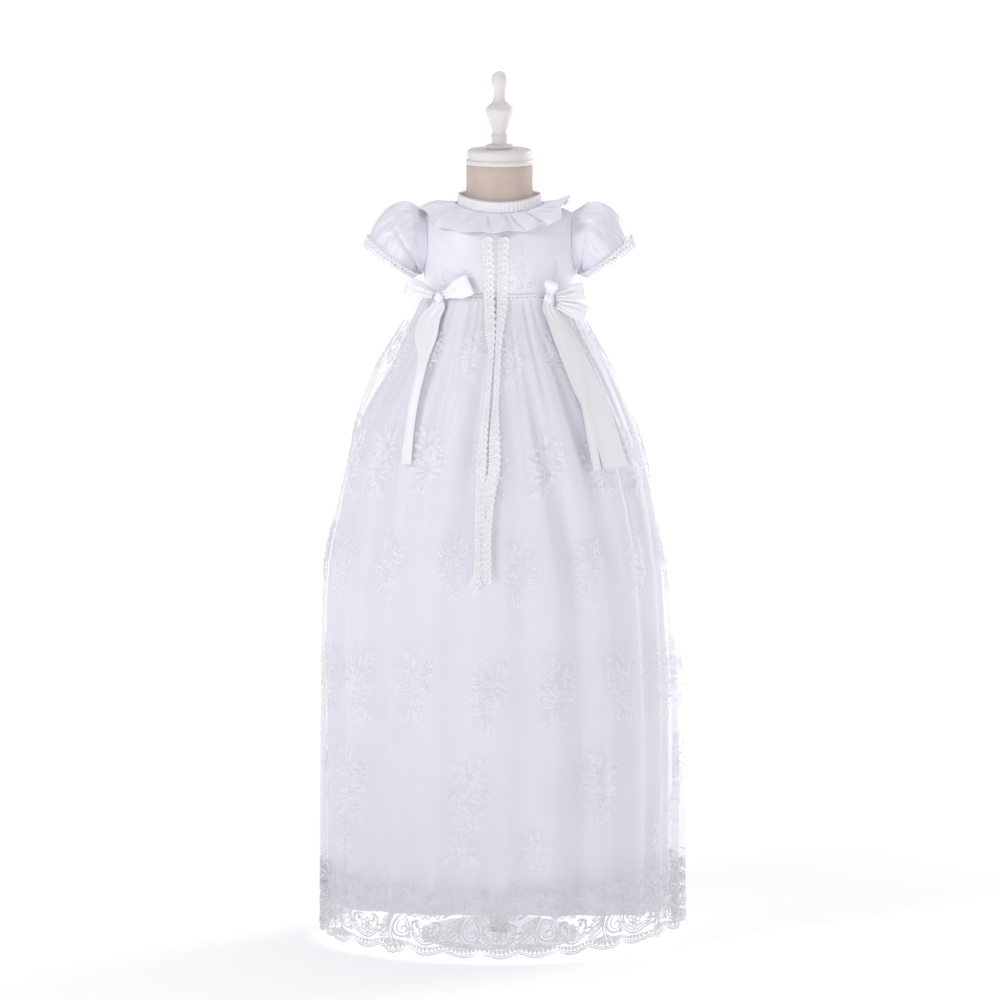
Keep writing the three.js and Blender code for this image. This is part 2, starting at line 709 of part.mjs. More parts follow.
// Point in front of the skirt or bodice at a sideways place and height, this far out from it
function frontPoint(x, height, out) {
  const skirtTop = WAIST - 6;
  const onSkirt = height < skirtTop;
  const level = onSkirt ? 0 : levelAtFront(height);
  const settled = smoothstep(height, skirtTop, WAIST + 12);
  const near = (aim) => {
    if (onSkirt) {
      const half = columnAt(LINING, 'height', height, x > 0 ? 'right' : 'left');
      return awayFromAxis(overlayPoint(radToDeg(Math.asin(aim / half)), height, true), out);
    }
    const angle = radToDeg(Math.asin(aim / columnAt(TORSO, 'level', level, 'side')));
    return awayFromAxis(torsoPoint(angle, level), out + lerp(GATHER_DEPTH + WAIST_STAND, 0, settled));
  };
  let aim = x * 0.9;
  for (let i = 0; i < 4; i += 1) {
    aim += x - near(aim).x;
  }
  return near(aim);
}

// A braid down the front, then hanging free over the skirt. Each leaf is wide then narrow.
function frontBraid(route) {
  const low = route[0].height;
  const high = route.at(-1).height;
  const leaves = Math.round((high - low) / LEAF);
  const sectionAt = (k) => {
    const height = lerp(low, high, k / (leaves * 2));
    const read = (name) => columnAt(route, 'height', height, name);
    const half = read('half') * (k % 2 ? LEAF_NECK : 1);
    const place = (across, rise) =>
      frontPoint(read('middle') + across * half, height, read('out') + rise);
    return [place(-1, 0), place(0, BRAID_RISE), place(1, 0)];
  };
  return ridgeSweep(Array.from({ length: leaves * 2 + 1 }, (_, k) => sectionAt(k)), false);
}

function ribbonTail(edges, out, steps) {
  const low = edges[0].height;
  const high = edges.at(-1).height;
  const surface = (u, v) => {
    const height = lerp(low, high, v);
    const left = columnAt(edges, 'height', height, 'left');
    const right = columnAt(edges, 'height', height, 'right');
    return frontPoint(lerp(left, right, u), height, out + RIBBON);
  };
  return clothWall(surface, evenRows(steps, 2), { thick: RIBBON });
}

// Centre of a waist knot, seated on the gathers
function knotCentre({ angle, out }) {
  return awayFromAxis(torsoPoint(angle, 0), KNOT.deep + out + GATHER_DEPTH);
}

function knot(seat) {
  const geometry = new THREE.SphereGeometry(1, 10, 7);
  geometry.scale(KNOT.across, KNOT.deep, KNOT.tall);
  geometry.rotateZ(degToRad(seat.angle));
  const centre = knotCentre(seat);
  geometry.translate(centre.x, centre.y, centre.z);
  return geometry;
}

// A ribbon loop from its knot out to the tip and back
function bowLoop(seat, { tip, span, bulge, width, drop = 0, out: forward = 0 }) {
  const reach = new THREE.Vector3(tip[0], -tip[1], tip[2]);
  const direction = reach.clone().normalize();
  const start = knotCentre(seat).addScaledVector(direction, KNOT.across + 2 * SEAM);
  awayFromAxis(start, forward);
  start.z -= drop;
  reach.addScaledVector(direction, -KNOT.across);
  const wide = new THREE.Vector3(span[0], -span[1], span[2]);
  wide.addScaledVector(direction, -wide.dot(direction)).normalize();
  const thickWay = direction.clone().cross(wide).normalize();
  const surface = (u, v) => {
    const out = (1 - Math.cos(2 * Math.PI * v)) / 2;
    const swell = bulge * Math.sin(2 * Math.PI * v) * (0.4 + 0.6 * out) + LOOP_ROOT.apart * (1 - 2 * v);
    const across = (u - 0.5) * lerp(LOOP_ROOT.width, width, smoothstep(out, 0, 0.7));
    return start.clone()
      .addScaledVector(reach, out)
      .addScaledVector(thickWay, swell)
      .addScaledVector(wide, across);
  };
  return clothWall(surface, evenRows(12, 2), { thick: RIBBON });
}

const backPanel = (u, v) => torsoPoint(180 + (u - 0.5) * 360, v * NECK);

function placket() {
  const half = radToDeg(PLACKET.half / TORSO[2].back) / 360;
  const surface = (u, v) => {
    const level = lerp(PLACKET.low, PLACKET.high, v) / NECK;
    return movedOut(backPanel, lerp(0.5 - half, 0.5 + half, u), level, SEAM + SATIN);
  };
  return clothWall(surface, evenRows(6, 2), { thick: SATIN });
}

// A sewn button with a raised rim, its face along +Z until it is turned to the back
function button(level) {
  const { radius, thick } = BUTTON;
  const profile = [
    [0, 0],
    [radius * 0.9, 0],
    [radius, thick * 0.5],
    [radius * 0.85, thick],
    [radius * 0.6, thick * 0.7],
    [0, thick * 0.7],
  ].map(([r, z]) => new THREE.Vector2(r, z));
  const geometry = new THREE.LatheGeometry(profile, 10);
  const outward = normalAt(backPanel, 0.5, level / NECK);
  geometry.applyQuaternion(
    new THREE.Quaternion().setFromUnitVectors(new THREE.Vector3(0, 1, 0), outward),
  );
  const seat = movedOut(backPanel, 0.5, level / NECK, SATIN + 2 * SEAM + 0.15);
  geometry.translate(seat.x, seat.y, seat.z);
  return geometry;
}

function formBody() {
  const ringOf = (point) =>
    Array.from({ length: FORM_CELLS }, (_, i) => point((360 * i) / FORM_CELLS));
  const rings = FORM_LOW.map(({ height, side, front, back }) =>
    ringOf((angle) => roundBody(angle, { left: side, right: side, front, back }, height)));
  const torso = (u, v) => torsoPoint(u * 360, v * NECK);
  for (const level of FORM_LEVELS) {
    const ease = lerp(FORM_EASE, SHOULDER_EASE, smoothstep(level, 4, SHOULDER));
    const tuck = level === NECK ? 1 : 0;
    rings.push(ringOf((angle) =>
      awayFromAxis(movedOut(torso, angle / 360, level / NECK, -SATIN - ease), -tuck)));
  }
  for (const { height, radius } of FORM_NECK) {
    rings.push(ringOf((angle) =>
      roundBody(angle, { left: radius, right: radius, front: radius, back: radius }, height)));
  }
  return ringSolid(rings);
}

// A turned solid from radius and height pairs, standing on +Z
function turned(profile, segments) {
  const geometry = new THREE.LatheGeometry(profile.map(([r, z]) => new THREE.Vector2(r, z)), segments);
  geometry.rotateX(Math.PI / 2);
  return geometry;
}

function neckCap() {
  const { radius, top, rim, step, round } = CAP;
  const foot = NECK_TOP + SEAM;
  return turned([
    [0, foot],
    [radius, foot],
    [radius, foot + rim],
    [radius - step, foot + rim + 1],
    [radius - step, top - round],
    [radius - step - round, top],
    [0, top],
  ], 28);
}

function finial() {
  const foot = CAP.top + SEAM;
  return turned([[0, foot], ...FINIAL.map(({ height, radius }) => [radius, foot + height])], 18);
}

function pole() {
  const low = BASE.thick + SEAM;
  const high = FORM_BOTTOM - SEAM;
  return turned([[0, low], [POLE_RADIUS, low], [POLE_RADIUS, high], [0, high]], 20);
}

function base() {
  const { radius, thick, round } = BASE;
  return turned([[0, 0], [radius, 0], [radius, thick - round], [radius - round, thick], [0, thick]], 36);
}

// Finishes, as seen on the real pieces
const FINISH = {
  satin: { color: 0xf0eff6, roughness: 0.42 },
  ribbon: { color: 0xf6f6fb, roughness: 0.34 },
  net: { color: 0xf3f2f6, roughness: 0.75 },
  braid: { color: 0xf6f5f8, roughness: 0.7 },
  button: { color: 0xf4f2ee, roughness: 0.25 },
  formCloth: { color: 0xceb9ae, roughness: 0.85 },
  paint: { color: 0xebe7e4, roughness: 0.4 },
};

const gown = new THREE.Group();

function addPiece(name, finish, geometry) {
  const material = new THREE.MeshStandardMaterial({ ...FINISH[finish], metalness: 0 });
  const mesh = new THREE.Mesh(geometry, material);
  mesh.name = name;
  gown.add(mesh);
}

addPiece('bodice_front', 'satin', bodiceFront());
addPiece('bodice_back_left', 'satin', bodiceBack(-1));
addPiece('bodice_back_right', 'satin', bodiceBack(1));
addPiece('back_placket', 'satin', placket());
BUTTON.levels.forEach((level, i) => addPiece(`back_button_${i + 1}`, 'button', button(level)));
addPiece('neckband', 'braid', neckband());
addPiece('collar_ruffle', 'satin', collarRuffle());
addPiece('sleeve_left', 'satin', sleeve(-1));
addPiece('sleeve_right', 'satin', sleeve(1));
addPiece('cuff_braid_left', 'braid', cuffBraid(-1));
addPiece('cuff_braid_right', 'braid', cuffBraid(1));
addPiece('front_braid_left', 'braid', frontBraid(BRAID_LEFT));
addPiece('front_braid_right', 'braid', frontBraid(BRAID_RIGHT));
addPiece('bow_left_knot', 'ribbon', knot(LEFT_KNOT));
addPiece('bow_left_loop_out', 'ribbon', bowLoop(LEFT_KNOT, LOOP_LEFT_OUT));
addPiece('bow_left_loop_in', 'ribbon', bowLoop(LEFT_KNOT, LOOP_LEFT_IN));
addPiece('bow_left_tail', 'ribbon', ribbonTail(TAIL_LEFT, TAIL_LIFT, 12));
addPiece('bow_right_knot', 'ribbon', knot(RIGHT_KNOT));
addPiece('bow_right_loop_up', 'ribbon', bowLoop(RIGHT_KNOT, LOOP_RIGHT_UP));
addPiece('bow_right_loop_side', 'ribbon', bowLoop(RIGHT_KNOT, LOOP_RIGHT_SIDE));
addPiece('bow_right_loop_low', 'ribbon', bowLoop(RIGHT_KNOT, LOOP_RIGHT_LOW));
addPiece('bow_right_tail_front', 'ribbon', ribbonTail(TAIL_RIGHT_FRONT, TAIL_OVER, 12));
addPiece('bow_right_tail_side', 'ribbon', ribbonTail(TAIL_RIGHT_SIDE, TAIL_LIFT, 10));
for (const half of ['front', 'back']) {
  addPiece(`lining_${half}`, 'satin', liningHalf(half));
  addPiece(`overlay_${half}`, 'net', overlayHalf(half));
  addPiece(`border_${half}`, 'net', borderHalf(half));
}
addPiece('form_body', 'formCloth', formBody());
addPiece('neck_cap', 'paint', neckCap());
addPiece('finial', 'paint', finial());
addPiece('pole', 'paint', pole());
addPiece('base', 'paint', base());

export default gown;
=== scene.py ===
# A long christening gown on a limbless child's dress form, in the order in which it is put
# together: the stand and form first, then the bodice, the skirt and its net, and the trimmings.
# Metres, +Z up, the front faces -Y. Left and right are the viewer's, looking at the front.
import math
import bpy
import numpy as np
from mathutils import Matrix, Vector


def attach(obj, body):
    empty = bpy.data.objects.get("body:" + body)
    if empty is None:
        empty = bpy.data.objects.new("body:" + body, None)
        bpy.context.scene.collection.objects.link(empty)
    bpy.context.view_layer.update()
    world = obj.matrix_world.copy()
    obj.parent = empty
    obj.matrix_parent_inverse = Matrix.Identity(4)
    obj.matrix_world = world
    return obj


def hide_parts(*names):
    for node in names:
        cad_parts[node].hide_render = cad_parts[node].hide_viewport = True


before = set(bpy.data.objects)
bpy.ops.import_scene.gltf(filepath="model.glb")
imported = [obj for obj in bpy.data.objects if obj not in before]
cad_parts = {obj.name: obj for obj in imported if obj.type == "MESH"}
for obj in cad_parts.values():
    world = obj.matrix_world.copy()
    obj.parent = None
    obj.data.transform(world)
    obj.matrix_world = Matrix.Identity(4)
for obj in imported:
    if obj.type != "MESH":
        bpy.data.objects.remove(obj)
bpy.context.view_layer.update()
scene = bpy.context.scene

# The view: a long lens from the front, a little above the waist, looking slightly down.
# The frame is 1.15 m across at the gown.
VIEW_TARGET = Vector((0.0006, 0, 0.5093))
VIEW_DISTANCE = 10
VIEW_RISE = math.radians(8)
FRAME_WIDTH = 1.15
camera_data = bpy.data.cameras.new("camera")
camera = bpy.data.objects.new("camera", camera_data)
scene.collection.objects.link(camera)
back_off = Vector((0, -math.cos(VIEW_RISE), math.sin(VIEW_RISE))) * VIEW_DISTANCE
camera.location = VIEW_TARGET + back_off
camera.rotation_euler = (-back_off).to_track_quat("-Z", "Y").to_euler()
camera_data.sensor_width = 36
camera_data.lens = camera_data.sensor_width * VIEW_DISTANCE / FRAME_WIDTH
camera_data.clip_end = 200
scene.camera = camera

# Studio light: a soft key from high on the left, near enough to fade down the skirt, a weaker
# fill from the right, a rim from behind it and a pale room all round. A small lamp inside the
# skirt keeps the floor under it pale, and see-through bounces suit the layers of net.
def area_light(name, place, aim, size, power, colour):
    data = bpy.data.lights.new(name, "AREA")
    data.size = size
    data.energy = power
    data.color = colour
    light = bpy.data.objects.new(name, data)
    light.location = place
    light.rotation_euler = (Vector(aim) - Vector(place)).to_track_quat("-Z", "Y").to_euler()
    scene.collection.objects.link(light)


area_light("key", (-1.75, -1.5, 1.75), (0, 0, 0.75), 0.5, 16.5, (0.97, 0.965, 1.0))
area_light("fill", (3.0, -3.2, 1.5), (0, 0, 0.5), 2.4, 18, (1.0, 0.985, 0.99))
area_light("top", (0.3, 0.9, 3.6), (0, 0, 0.6), 2.0, 28, (1, 1, 1))
area_light("back", (3.3, 2.9, 1.6), (0, 0, 0.5), 1.8, 60, (0.99, 0.99, 1.0))
area_light("under_skirt", (0, 0, 0.45), (0, 0, 0), 0.16, 0.65, (1, 1, 1))
scene.world = bpy.data.worlds.new("room")
scene.world.use_nodes = True
room = scene.world.node_tree.nodes["Background"]
room.inputs["Color"].default_value = (0.985, 0.985, 1.0, 1)
room.inputs["Strength"].default_value = 0.40
scene.view_settings.view_transform = "Standard"
scene.cycles.transparent_max_bounces = 16
scene.cycles.max_bounces = 5

# The floor is a plain white paper sweep, matt, with the faintest clouding.
def add_node(material, kind, links=(), **settings):
    node = material.node_tree.nodes.new(kind)
    for name, value in settings.items():
        socket = name.replace("_", " ")
        if socket in node.inputs:
            node.inputs[socket].default_value = value
        else:
            setattr(node, name, value)
    for socket, source in links:
        material.node_tree.links.new(source, node.inputs[socket])
    return node


def new_finish(name, roughness, **sockets):
    material = bpy.data.materials.new(name)
    material.use_nodes = True
    shader = material.node_tree.nodes["Principled BSDF"]
    shader.inputs["Roughness"].default_value = roughness
    for socket, value in sockets.items():
        shader.inputs[socket.replace("_", " ")].default_value = value
    return material, shader


def clouded_colour(material, shader, light, dark, size, detail=3):
    place = add_node(material, "ShaderNodeTexCoord")
    cloud = add_node(material, "ShaderNodeTexNoise", [("Vector", place.outputs["Object"])],
                     Scale=1 / size, Detail=detail, Roughness=0.55)
    ramp = add_node(material, "ShaderNodeValToRGB", [("Fac", cloud.outputs["Fac"])])
    ramp.color_ramp.elements[0].position = 0.35
    ramp.color_ramp.elements[0].color = (*dark, 1)
    ramp.color_ramp.elements[1].position = 0.65
    ramp.color_ramp.elements[1].color = (*light, 1)
    material.node_tree.links.new(ramp.outputs["Color"], shader.inputs["Base Color"])
    return place


paper, paper_shader = new_finish("paper", 0.9, Emission_Color=(1, 1, 1, 1))
paper_place = clouded_colour(paper, paper_shader, (0.93, 0.93, 0.93), (0.92, 0.92, 0.925), 0.8)
from_gown = add_node(paper, "ShaderNodeVectorMath", operation="LENGTH")
paper.node_tree.links.new(paper_place.outputs["Object"], from_gown.inputs[0])
backlight = add_node(paper, "ShaderNodeMapRange", [("Value", from_gown.outputs["Value"])],
                     interpolation_type="SMOOTHSTEP")
FLOOR_GLOW = {"From Min": 0.4, "From Max": 3, "To Min": 0.27, "To Max": 0.8}
for socket, value in FLOOR_GLOW.items():
    backlight.inputs[socket].default_value = value
paper.node_tree.links.new(backlight.outputs["Result"], paper_shader.inputs["Emission Strength"])
FLOOR_HALF = 30
floor_mesh = bpy.data.meshes.new("floor")
floor_corners = [(-1, -1, 0), (1, -1, 0), (1, 1, 0), (-1, 1, 0)]
floor_mesh.from_pydata([(x * FLOOR_HALF, y * FLOOR_HALF, z) for x, y, z in floor_corners], [],
                       [(0, 1, 2, 3)])
floor_mesh.materials.append(paper)
floor = bpy.data.objects.new("floor", floor_mesh)
scene.collection.objects.link(floor)

# The stand: a round steel plate and a plain steel tube, both sprayed white. The tube is
# screwed into the plate and goes up into the form.
def new_piece(name, points, faces, finish, sharp=50):
    mesh = bpy.data.meshes.new(name)
    mesh.from_pydata(points, [], faces)
    mesh.update()
    mesh.shade_smooth()
    mesh.set_sharp_from_angle(angle=math.radians(sharp))
    mesh.materials.append(finish)
    piece = bpy.data.objects.new(name, mesh)
    scene.collection.objects.link(piece)
    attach(piece, "root")
    return piece


def turned_piece(name, profile, finish, cells=96, sharp=50):
    around = np.linspace(0, 2 * math.pi, cells, endpoint=False)
    rings = [np.stack([r * np.sin(around), r * np.cos(around), np.full(cells, z)], 1)
             for r, z in profile]
    points = np.concatenate(rings)
    faces = []
    for j in range(len(profile) - 1):
        for i in range(cells):
            after = (i + 1) % cells
            faces.append((j * cells + i, (j + 1) * cells + i,
                          (j + 1) * cells + after, j * cells + after))
    faces.append(tuple(range(cells)))
    faces.append(tuple(reversed(range((len(profile) - 1) * cells, len(profile) * cells))))
    return new_piece(name, points, faces, finish, sharp)


def round_edge(radius, height, size, start, end, steps=5):
    turns = np.radians(np.linspace(start, end, steps + 1))
    return [(radius + size * math.cos(t), height + size * math.sin(t)) for t in turns]


def add_bump(material, shader, *layers):
    previous = None
    for source, strength, distance in layers:
        bump = add_node(material, "ShaderNodeBump", [("Height", source)],
                        Strength=strength, Distance=distance)
        if previous:
            material.node_tree.links.new(previous.outputs["Normal"], bump.inputs["Normal"])
        previous = bump
    material.node_tree.links.new(previous.outputs["Normal"], shader.inputs["Normal"])


steel, steel_shader = new_finish("sprayed_steel", 0.38, Coat_Weight=0.15)
steel_place = clouded_colour(steel, steel_shader, (0.84, 0.83, 0.82), (0.80, 0.79, 0.78), 0.05)
spray_grain = add_node(steel, "ShaderNodeTexNoise", [("Vector", steel_place.outputs["Object"])],
                       Scale=900, Detail=2)
add_bump(steel, steel_shader, (spray_grain.outputs["Fac"], 0.25, 0.0003))
BASE_RADIUS = 0.09
BASE_THICK = 0.007
BASE_ROUND = 0.0025
POLE_RADIUS = 0.011
SEAM = 0.0003
FORM_BOTTOM = 0.56
base = turned_piece("stand_base", [
    (BASE_RADIUS - 0.001, 0),
    (BASE_RADIUS, 0.001),
    *round_edge(BASE_RADIUS - BASE_ROUND, BASE_THICK - BASE_ROUND, BASE_ROUND, 0, 90),
    (POLE_RADIUS + 0.006, BASE_THICK),
], steel)
pole = turned_piece("stand_pole", [
    (POLE_RADIUS - 0.0008, BASE_THICK + SEAM),
    (POLE_RADIUS, BASE_THICK + SEAM + 0.0008),
    (POLE_RADIUS, FORM_BOTTOM - SEAM - 0.0008),
    (POLE_RADIUS - 0.0008, FORM_BOTTOM - SEAM),
], steel)
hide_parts("base")
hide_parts("pole")

# The form: a padded torso without limbs, covered in beige cotton jersey drawn smooth. Only its
# neck shows above the collar. Its levels follow the worn bodice, just inside the satin.
SATIN = 0.0012
NECK_LEVEL = 7
SHOULDER_LEVEL = 5


def rows_of(columns, *rows):
    return dict(zip(columns.split(), np.array(rows, float).T))


TORSO = rows_of(
    "level side side_up front front_up back back_up",
    (0, 0.085, 0.7503, 0.066, 0.7503, 0.062, 0.7503),
    (1, 0.0875, 0.774, 0.069, 0.774, 0.064, 0.775),
    (2, 0.0885, 0.790, 0.0695, 0.789, 0.065, 0.792),
    (3, 0.0885, 0.808, 0.068, 0.803, 0.0645, 0.808),
    (4, 0.087, 0.826, 0.065, 0.815, 0.062, 0.823),
    (5, 0.082, 0.842, 0.0605, 0.826, 0.058, 0.835),
    (6, 0.066, 0.848, 0.054, 0.836, 0.052, 0.845),
    (7, 0.048, 0.8515, 0.0465, 0.846, 0.046, 0.853),
)


def lerp(start, end, share):
    return start + (end - start) * share


def smooth_step(value, low, high):
    share = np.clip((value - low) / (high - low), 0, 1)
    return share * share * (3 - 2 * share)


def read_column(table, key, at, column):
    keys, values = table[key], table[column]
    slopes = np.gradient(values)
    slopes[1:-1] = (values[2:] - values[:-2]) / (keys[2:] - keys[:-2])
    slopes[0] = (values[1] - values[0]) / (keys[1] - keys[0])
    slopes[-1] = (values[-1] - values[-2]) / (keys[-1] - keys[-2])
    at = np.asarray(at, float)
    k = np.clip(np.searchsorted(keys, at, side="left") - 1, 0, len(keys) - 2)
    span = keys[k + 1] - keys[k]
    t = np.clip((at - keys[k]) / span, 0, 1)
    leaving = t * (1 - t) ** 2 * span * slopes[k]
    arriving = t * t * (t - 1) * span * slopes[k + 1]
    return lerp(values[k], values[k + 1], t * t * (3 - 2 * t)) + leaving + arriving


def round_body(angle, left, right, front, back, height):
    sine, cosine = np.sin(np.radians(angle)), np.cos(np.radians(angle))
    x = sine * np.where(sine > 0, right, left)
    y = -cosine * np.where(cosine > 0, front, back)
    return np.stack(np.broadcast_arrays(x, y, height), -1)


def torso_point(angle, level):
    read = {name: read_column(TORSO, "level", level, name) for name in TORSO if name != "level"}
    side_share = np.sin(np.radians(angle)) ** 2
    end_up = np.where(np.cos(np.radians(angle)) > 0, read["front_up"], read["back_up"])
    height = lerp(end_up, read["side_up"], side_share)
    return round_body(angle, read["side"], read["side"], read["front"], read["back"], height)


def normal_of(surface, across, up, step=0.3):
    along = surface(across + step, up) - surface(across - step, up)
    rise = surface(across, up + step * 0.01) - surface(across, up - step * 0.01)
    normal = np.cross(along, rise)
    return normal / np.linalg.norm(normal, axis=-1, keepdims=True)


def from_axis(points, distance):
    points = points.copy()
    radius = np.hypot(points[..., 0], points[..., 1])
    points[..., :2] *= (1 + distance / radius)[..., None]
    return points


FORM_LOW = rows_of(
    "height side front back",
    (0.560, 0.066, 0.052, 0.054),
    (0.566, 0.072, 0.057, 0.059),
    (0.620, 0.082, 0.062, 0.064),
    (0.690, 0.084, 0.063, 0.062),
    (0.738, 0.082, 0.063, 0.0595),
)
FORM_NECK = rows_of("height radius", (0.857, 0.041), (0.866, 0.0383), (0.897, 0.038))
FORM_EASE = 0.0015
FORM_CELLS = 96
SHOULDER_EASE = 0.0008
form_angles = np.linspace(0, 360, FORM_CELLS, endpoint=False)
form_rings = []
for height in (0.560, 0.561, 0.563, 0.566, 0.58, 0.60, 0.62, 0.65, 0.69, 0.715, 0.738):
    side, front, back = (float(read_column(FORM_LOW, "height", height, name))
                         for name in ("side", "front", "back"))
    form_rings.append(round_body(form_angles, side, side, front, back, height))
for level in np.linspace(0.3, 6.9, 30):
    ease = SATIN + lerp(FORM_EASE, SHOULDER_EASE, smooth_step(level, 4, SHOULDER_LEVEL))
    skin = torso_point(form_angles, level)
    skin = skin - normal_of(torso_point, form_angles, level) * ease
    form_rings.append(from_axis(skin, -0.001 * smooth_step(level, 6, NECK_LEVEL)))
for height in (0.858, 0.8605, 0.8635, 0.867, 0.875, 0.885, 0.8955, 0.897):
    radius = float(read_column(FORM_NECK, "height", height, "radius"))
    radius -= 0.0008 if height == 0.897 else 0
    form_rings.append(round_body(form_angles, radius, radius, radius, radius, height))


def ring_faces(rows, cells, first=0, closed=True):
    j, i = np.meshgrid(np.arange(rows - 1), np.arange(cells if closed else cells - 1), indexing="ij")
    after = (i + 1) % cells
    quads = np.stack([j * cells + i, j * cells + after, (j + 1) * cells + after, (j + 1) * cells + i], -1)
    return (quads.reshape(-1, 4) + first).tolist()


form_faces = ring_faces(len(form_rings), FORM_CELLS)
form_faces.append(tuple(reversed(range(FORM_CELLS))))
form_faces.append(tuple(range((len(form_rings) - 1) * FORM_CELLS, len(form_rings) * FORM_CELLS)))
jersey, jersey_shader = new_finish("beige_jersey", 0.92, Sheen_Weight=0.35, Sheen_Roughness=0.5,
                                   Sheen_Tint=(1, 0.95, 0.92, 1), Specular_IOR_Level=0.25)
jersey_place = clouded_colour(jersey, jersey_shader, (0.66, 0.545, 0.49), (0.61, 0.495, 0.44), 0.02)
jersey_knit = add_node(jersey, "ShaderNodeTexWave", [("Vector", jersey_place.outputs["Object"])],
                       Scale=260, Distortion=1.5, Detail=1, bands_direction="Z")
add_bump(jersey, jersey_shader, (jersey_knit.outputs["Fac"], 0.35, 0.0004))
form = new_piece("dress_form", np.concatenate(form_rings), form_faces, jersey, 60)
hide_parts("form_body")

# The neck block and finial: turned beech, painted white with a brush, glued and screwed to the
# top of the form's neck.
CAP_FOOT = 0.897 + SEAM
CAP_TOP = 0.915
CAP_RADIUS = 0.0385
paint, paint_shader = new_finish("white_paint", 0.42, Coat_Weight=0.1, Coat_Roughness=0.3)
paint_place = clouded_colour(paint, paint_shader, (0.80, 0.765, 0.76), (0.76, 0.725, 0.715), 0.02)
brush_stretch = add_node(paint, "ShaderNodeMapping", [("Vector", paint_place.outputs["Object"])],
                         Scale=(60, 60, 900))
brush_marks = add_node(paint, "ShaderNodeTexNoise", [("Vector", brush_stretch.outputs["Vector"])],
                       Scale=1, Detail=3)
add_bump(paint, paint_shader, (brush_marks.outputs["Fac"], 0.3, 0.0005))
cap = turned_piece("neck_block", [
    (CAP_RADIUS - 0.0008, CAP_FOOT),
    (CAP_RADIUS, CAP_FOOT + 0.0008),
    (CAP_RADIUS, CAP_FOOT + 0.0052),
    (CAP_RADIUS - 0.0006, CAP_FOOT + 0.006),
    (CAP_RADIUS - 0.0015, CAP_FOOT + 0.0066),
    (CAP_RADIUS - 0.0015, CAP_TOP - 0.0042),
    *round_edge(CAP_RADIUS - 0.0055, CAP_TOP - 0.004, 0.004, 0, 88),
    (0.016, CAP_TOP),
], paint)
FINIAL = rows_of(
    "height radius",
    (0, 0.0150), (0.004, 0.0155), (0.006, 0.0092), (0.015, 0.0098), (0.018, 0.0080),
    (0.032, 0.0125), (0.044, 0.0160), (0.048, 0.0140), (0.055, 0.0077), (0.070, 0.0074),
    (0.073, 0.0090), (0.080, 0.0093), (0.086, 0.0065), (0.089, 0.0012),
)
finial_foot = CAP_TOP + SEAM
finial_heights = np.concatenate([np.linspace(low, high, 5)[:-1] for low, high in
                                 zip(FINIAL["height"][:-1], FINIAL["height"][1:])] + [[0.089]])
finial_radii = read_column(FINIAL, "height", finial_heights, "radius")
finial = turned_piece("turned_finial", [(float(r), float(finial_foot + z))
                                        for r, z in zip(finial_radii, finial_heights)],
                      paint, 64)
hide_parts("neck_cap")
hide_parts("finial")

# The bodice: one front and two backs of white satin, sewn at the sides and open at the centre
# back, drawn in a little at the waist, with soft pulls from the armholes.
ARMHOLE_ANGLE = 22
SATIN_LIGHT = (0.875, 0.86, 0.935)
SATIN_DARK = (0.845, 0.83, 0.91)


def satin_finish(name, roughness, light, dark, sheen, crease_strength):
    material, shader = new_finish(name, roughness, Sheen_Weight=sheen, Sheen_Roughness=0.35,
                                  Specular_IOR_Level=0.45)
    place = clouded_colour(material, shader, light, dark, 0.06)
    weave = add_node(material, "ShaderNodeTexWave", [("Vector", place.outputs["Object"])],
                     Scale=420, Distortion=0.6, Detail=1, bands_direction="DIAGONAL")
    stretched = add_node(material, "ShaderNodeMapping", [("Vector", place.outputs["Object"])],
                         Scale=(1, 1, 0.35))
    creases = add_node(material, "ShaderNodeTexNoise", [("Vector", stretched.outputs["Vector"])],
                       Scale=55, Detail=4, Roughness=0.5, Distortion=0.4)
    add_bump(material, shader, (creases.outputs["Fac"], crease_strength, 0.004),
             (weave.outputs["Fac"], 0.12, 0.0002))
    return material


def grid_normals(grid, closed):
    if closed:
        along = np.roll(grid, -1, 1) - np.roll(grid, 1, 1)
    else:
        along = np.gradient(grid, axis=1)
    up = np.gradient(grid, axis=0)
    normal = np.cross(along, up)
    length = np.linalg.norm(normal, axis=-1, keepdims=True)
    return normal / np.maximum(length, 1e-12)


def cloth_wall(name, grid, thick, finish, closed=False, sharp=70):
    rows, cells = grid.shape[:2]
    inner = grid - grid_normals(grid, closed) * thick
    points = np.concatenate([grid.reshape(-1, 3), inner.reshape(-1, 3)])
    first = rows * cells
    faces = ring_faces(rows, cells, 0, closed)
    faces += [tuple(reversed(face)) for face in ring_faces(rows, cells, first, closed)]
    last = (rows - 1) * cells
    for i in range(cells if closed else cells - 1):
        after = (i + 1) % cells
        faces.append((first + i, first + after, after, i))
        faces.append((last + i, last + after, first + last + after, first + last + i))
    if not closed:
        for j in range(rows - 1):
            low, high = j * cells, (j + 1) * cells
            faces.append((low, high, first + high, first + low))
            end_low, end_high = low + cells - 1, high + cells - 1
            faces.append((first + end_low, first + end_high, end_high, end_low))
    return new_piece(name, points, faces, finish, sharp)


def armhole_angle(level):
    part = (level - 3) / 2
    return np.maximum(ARMHOLE_ANGLE * np.sqrt(np.maximum(0, 1 - part * part)), 0.13)


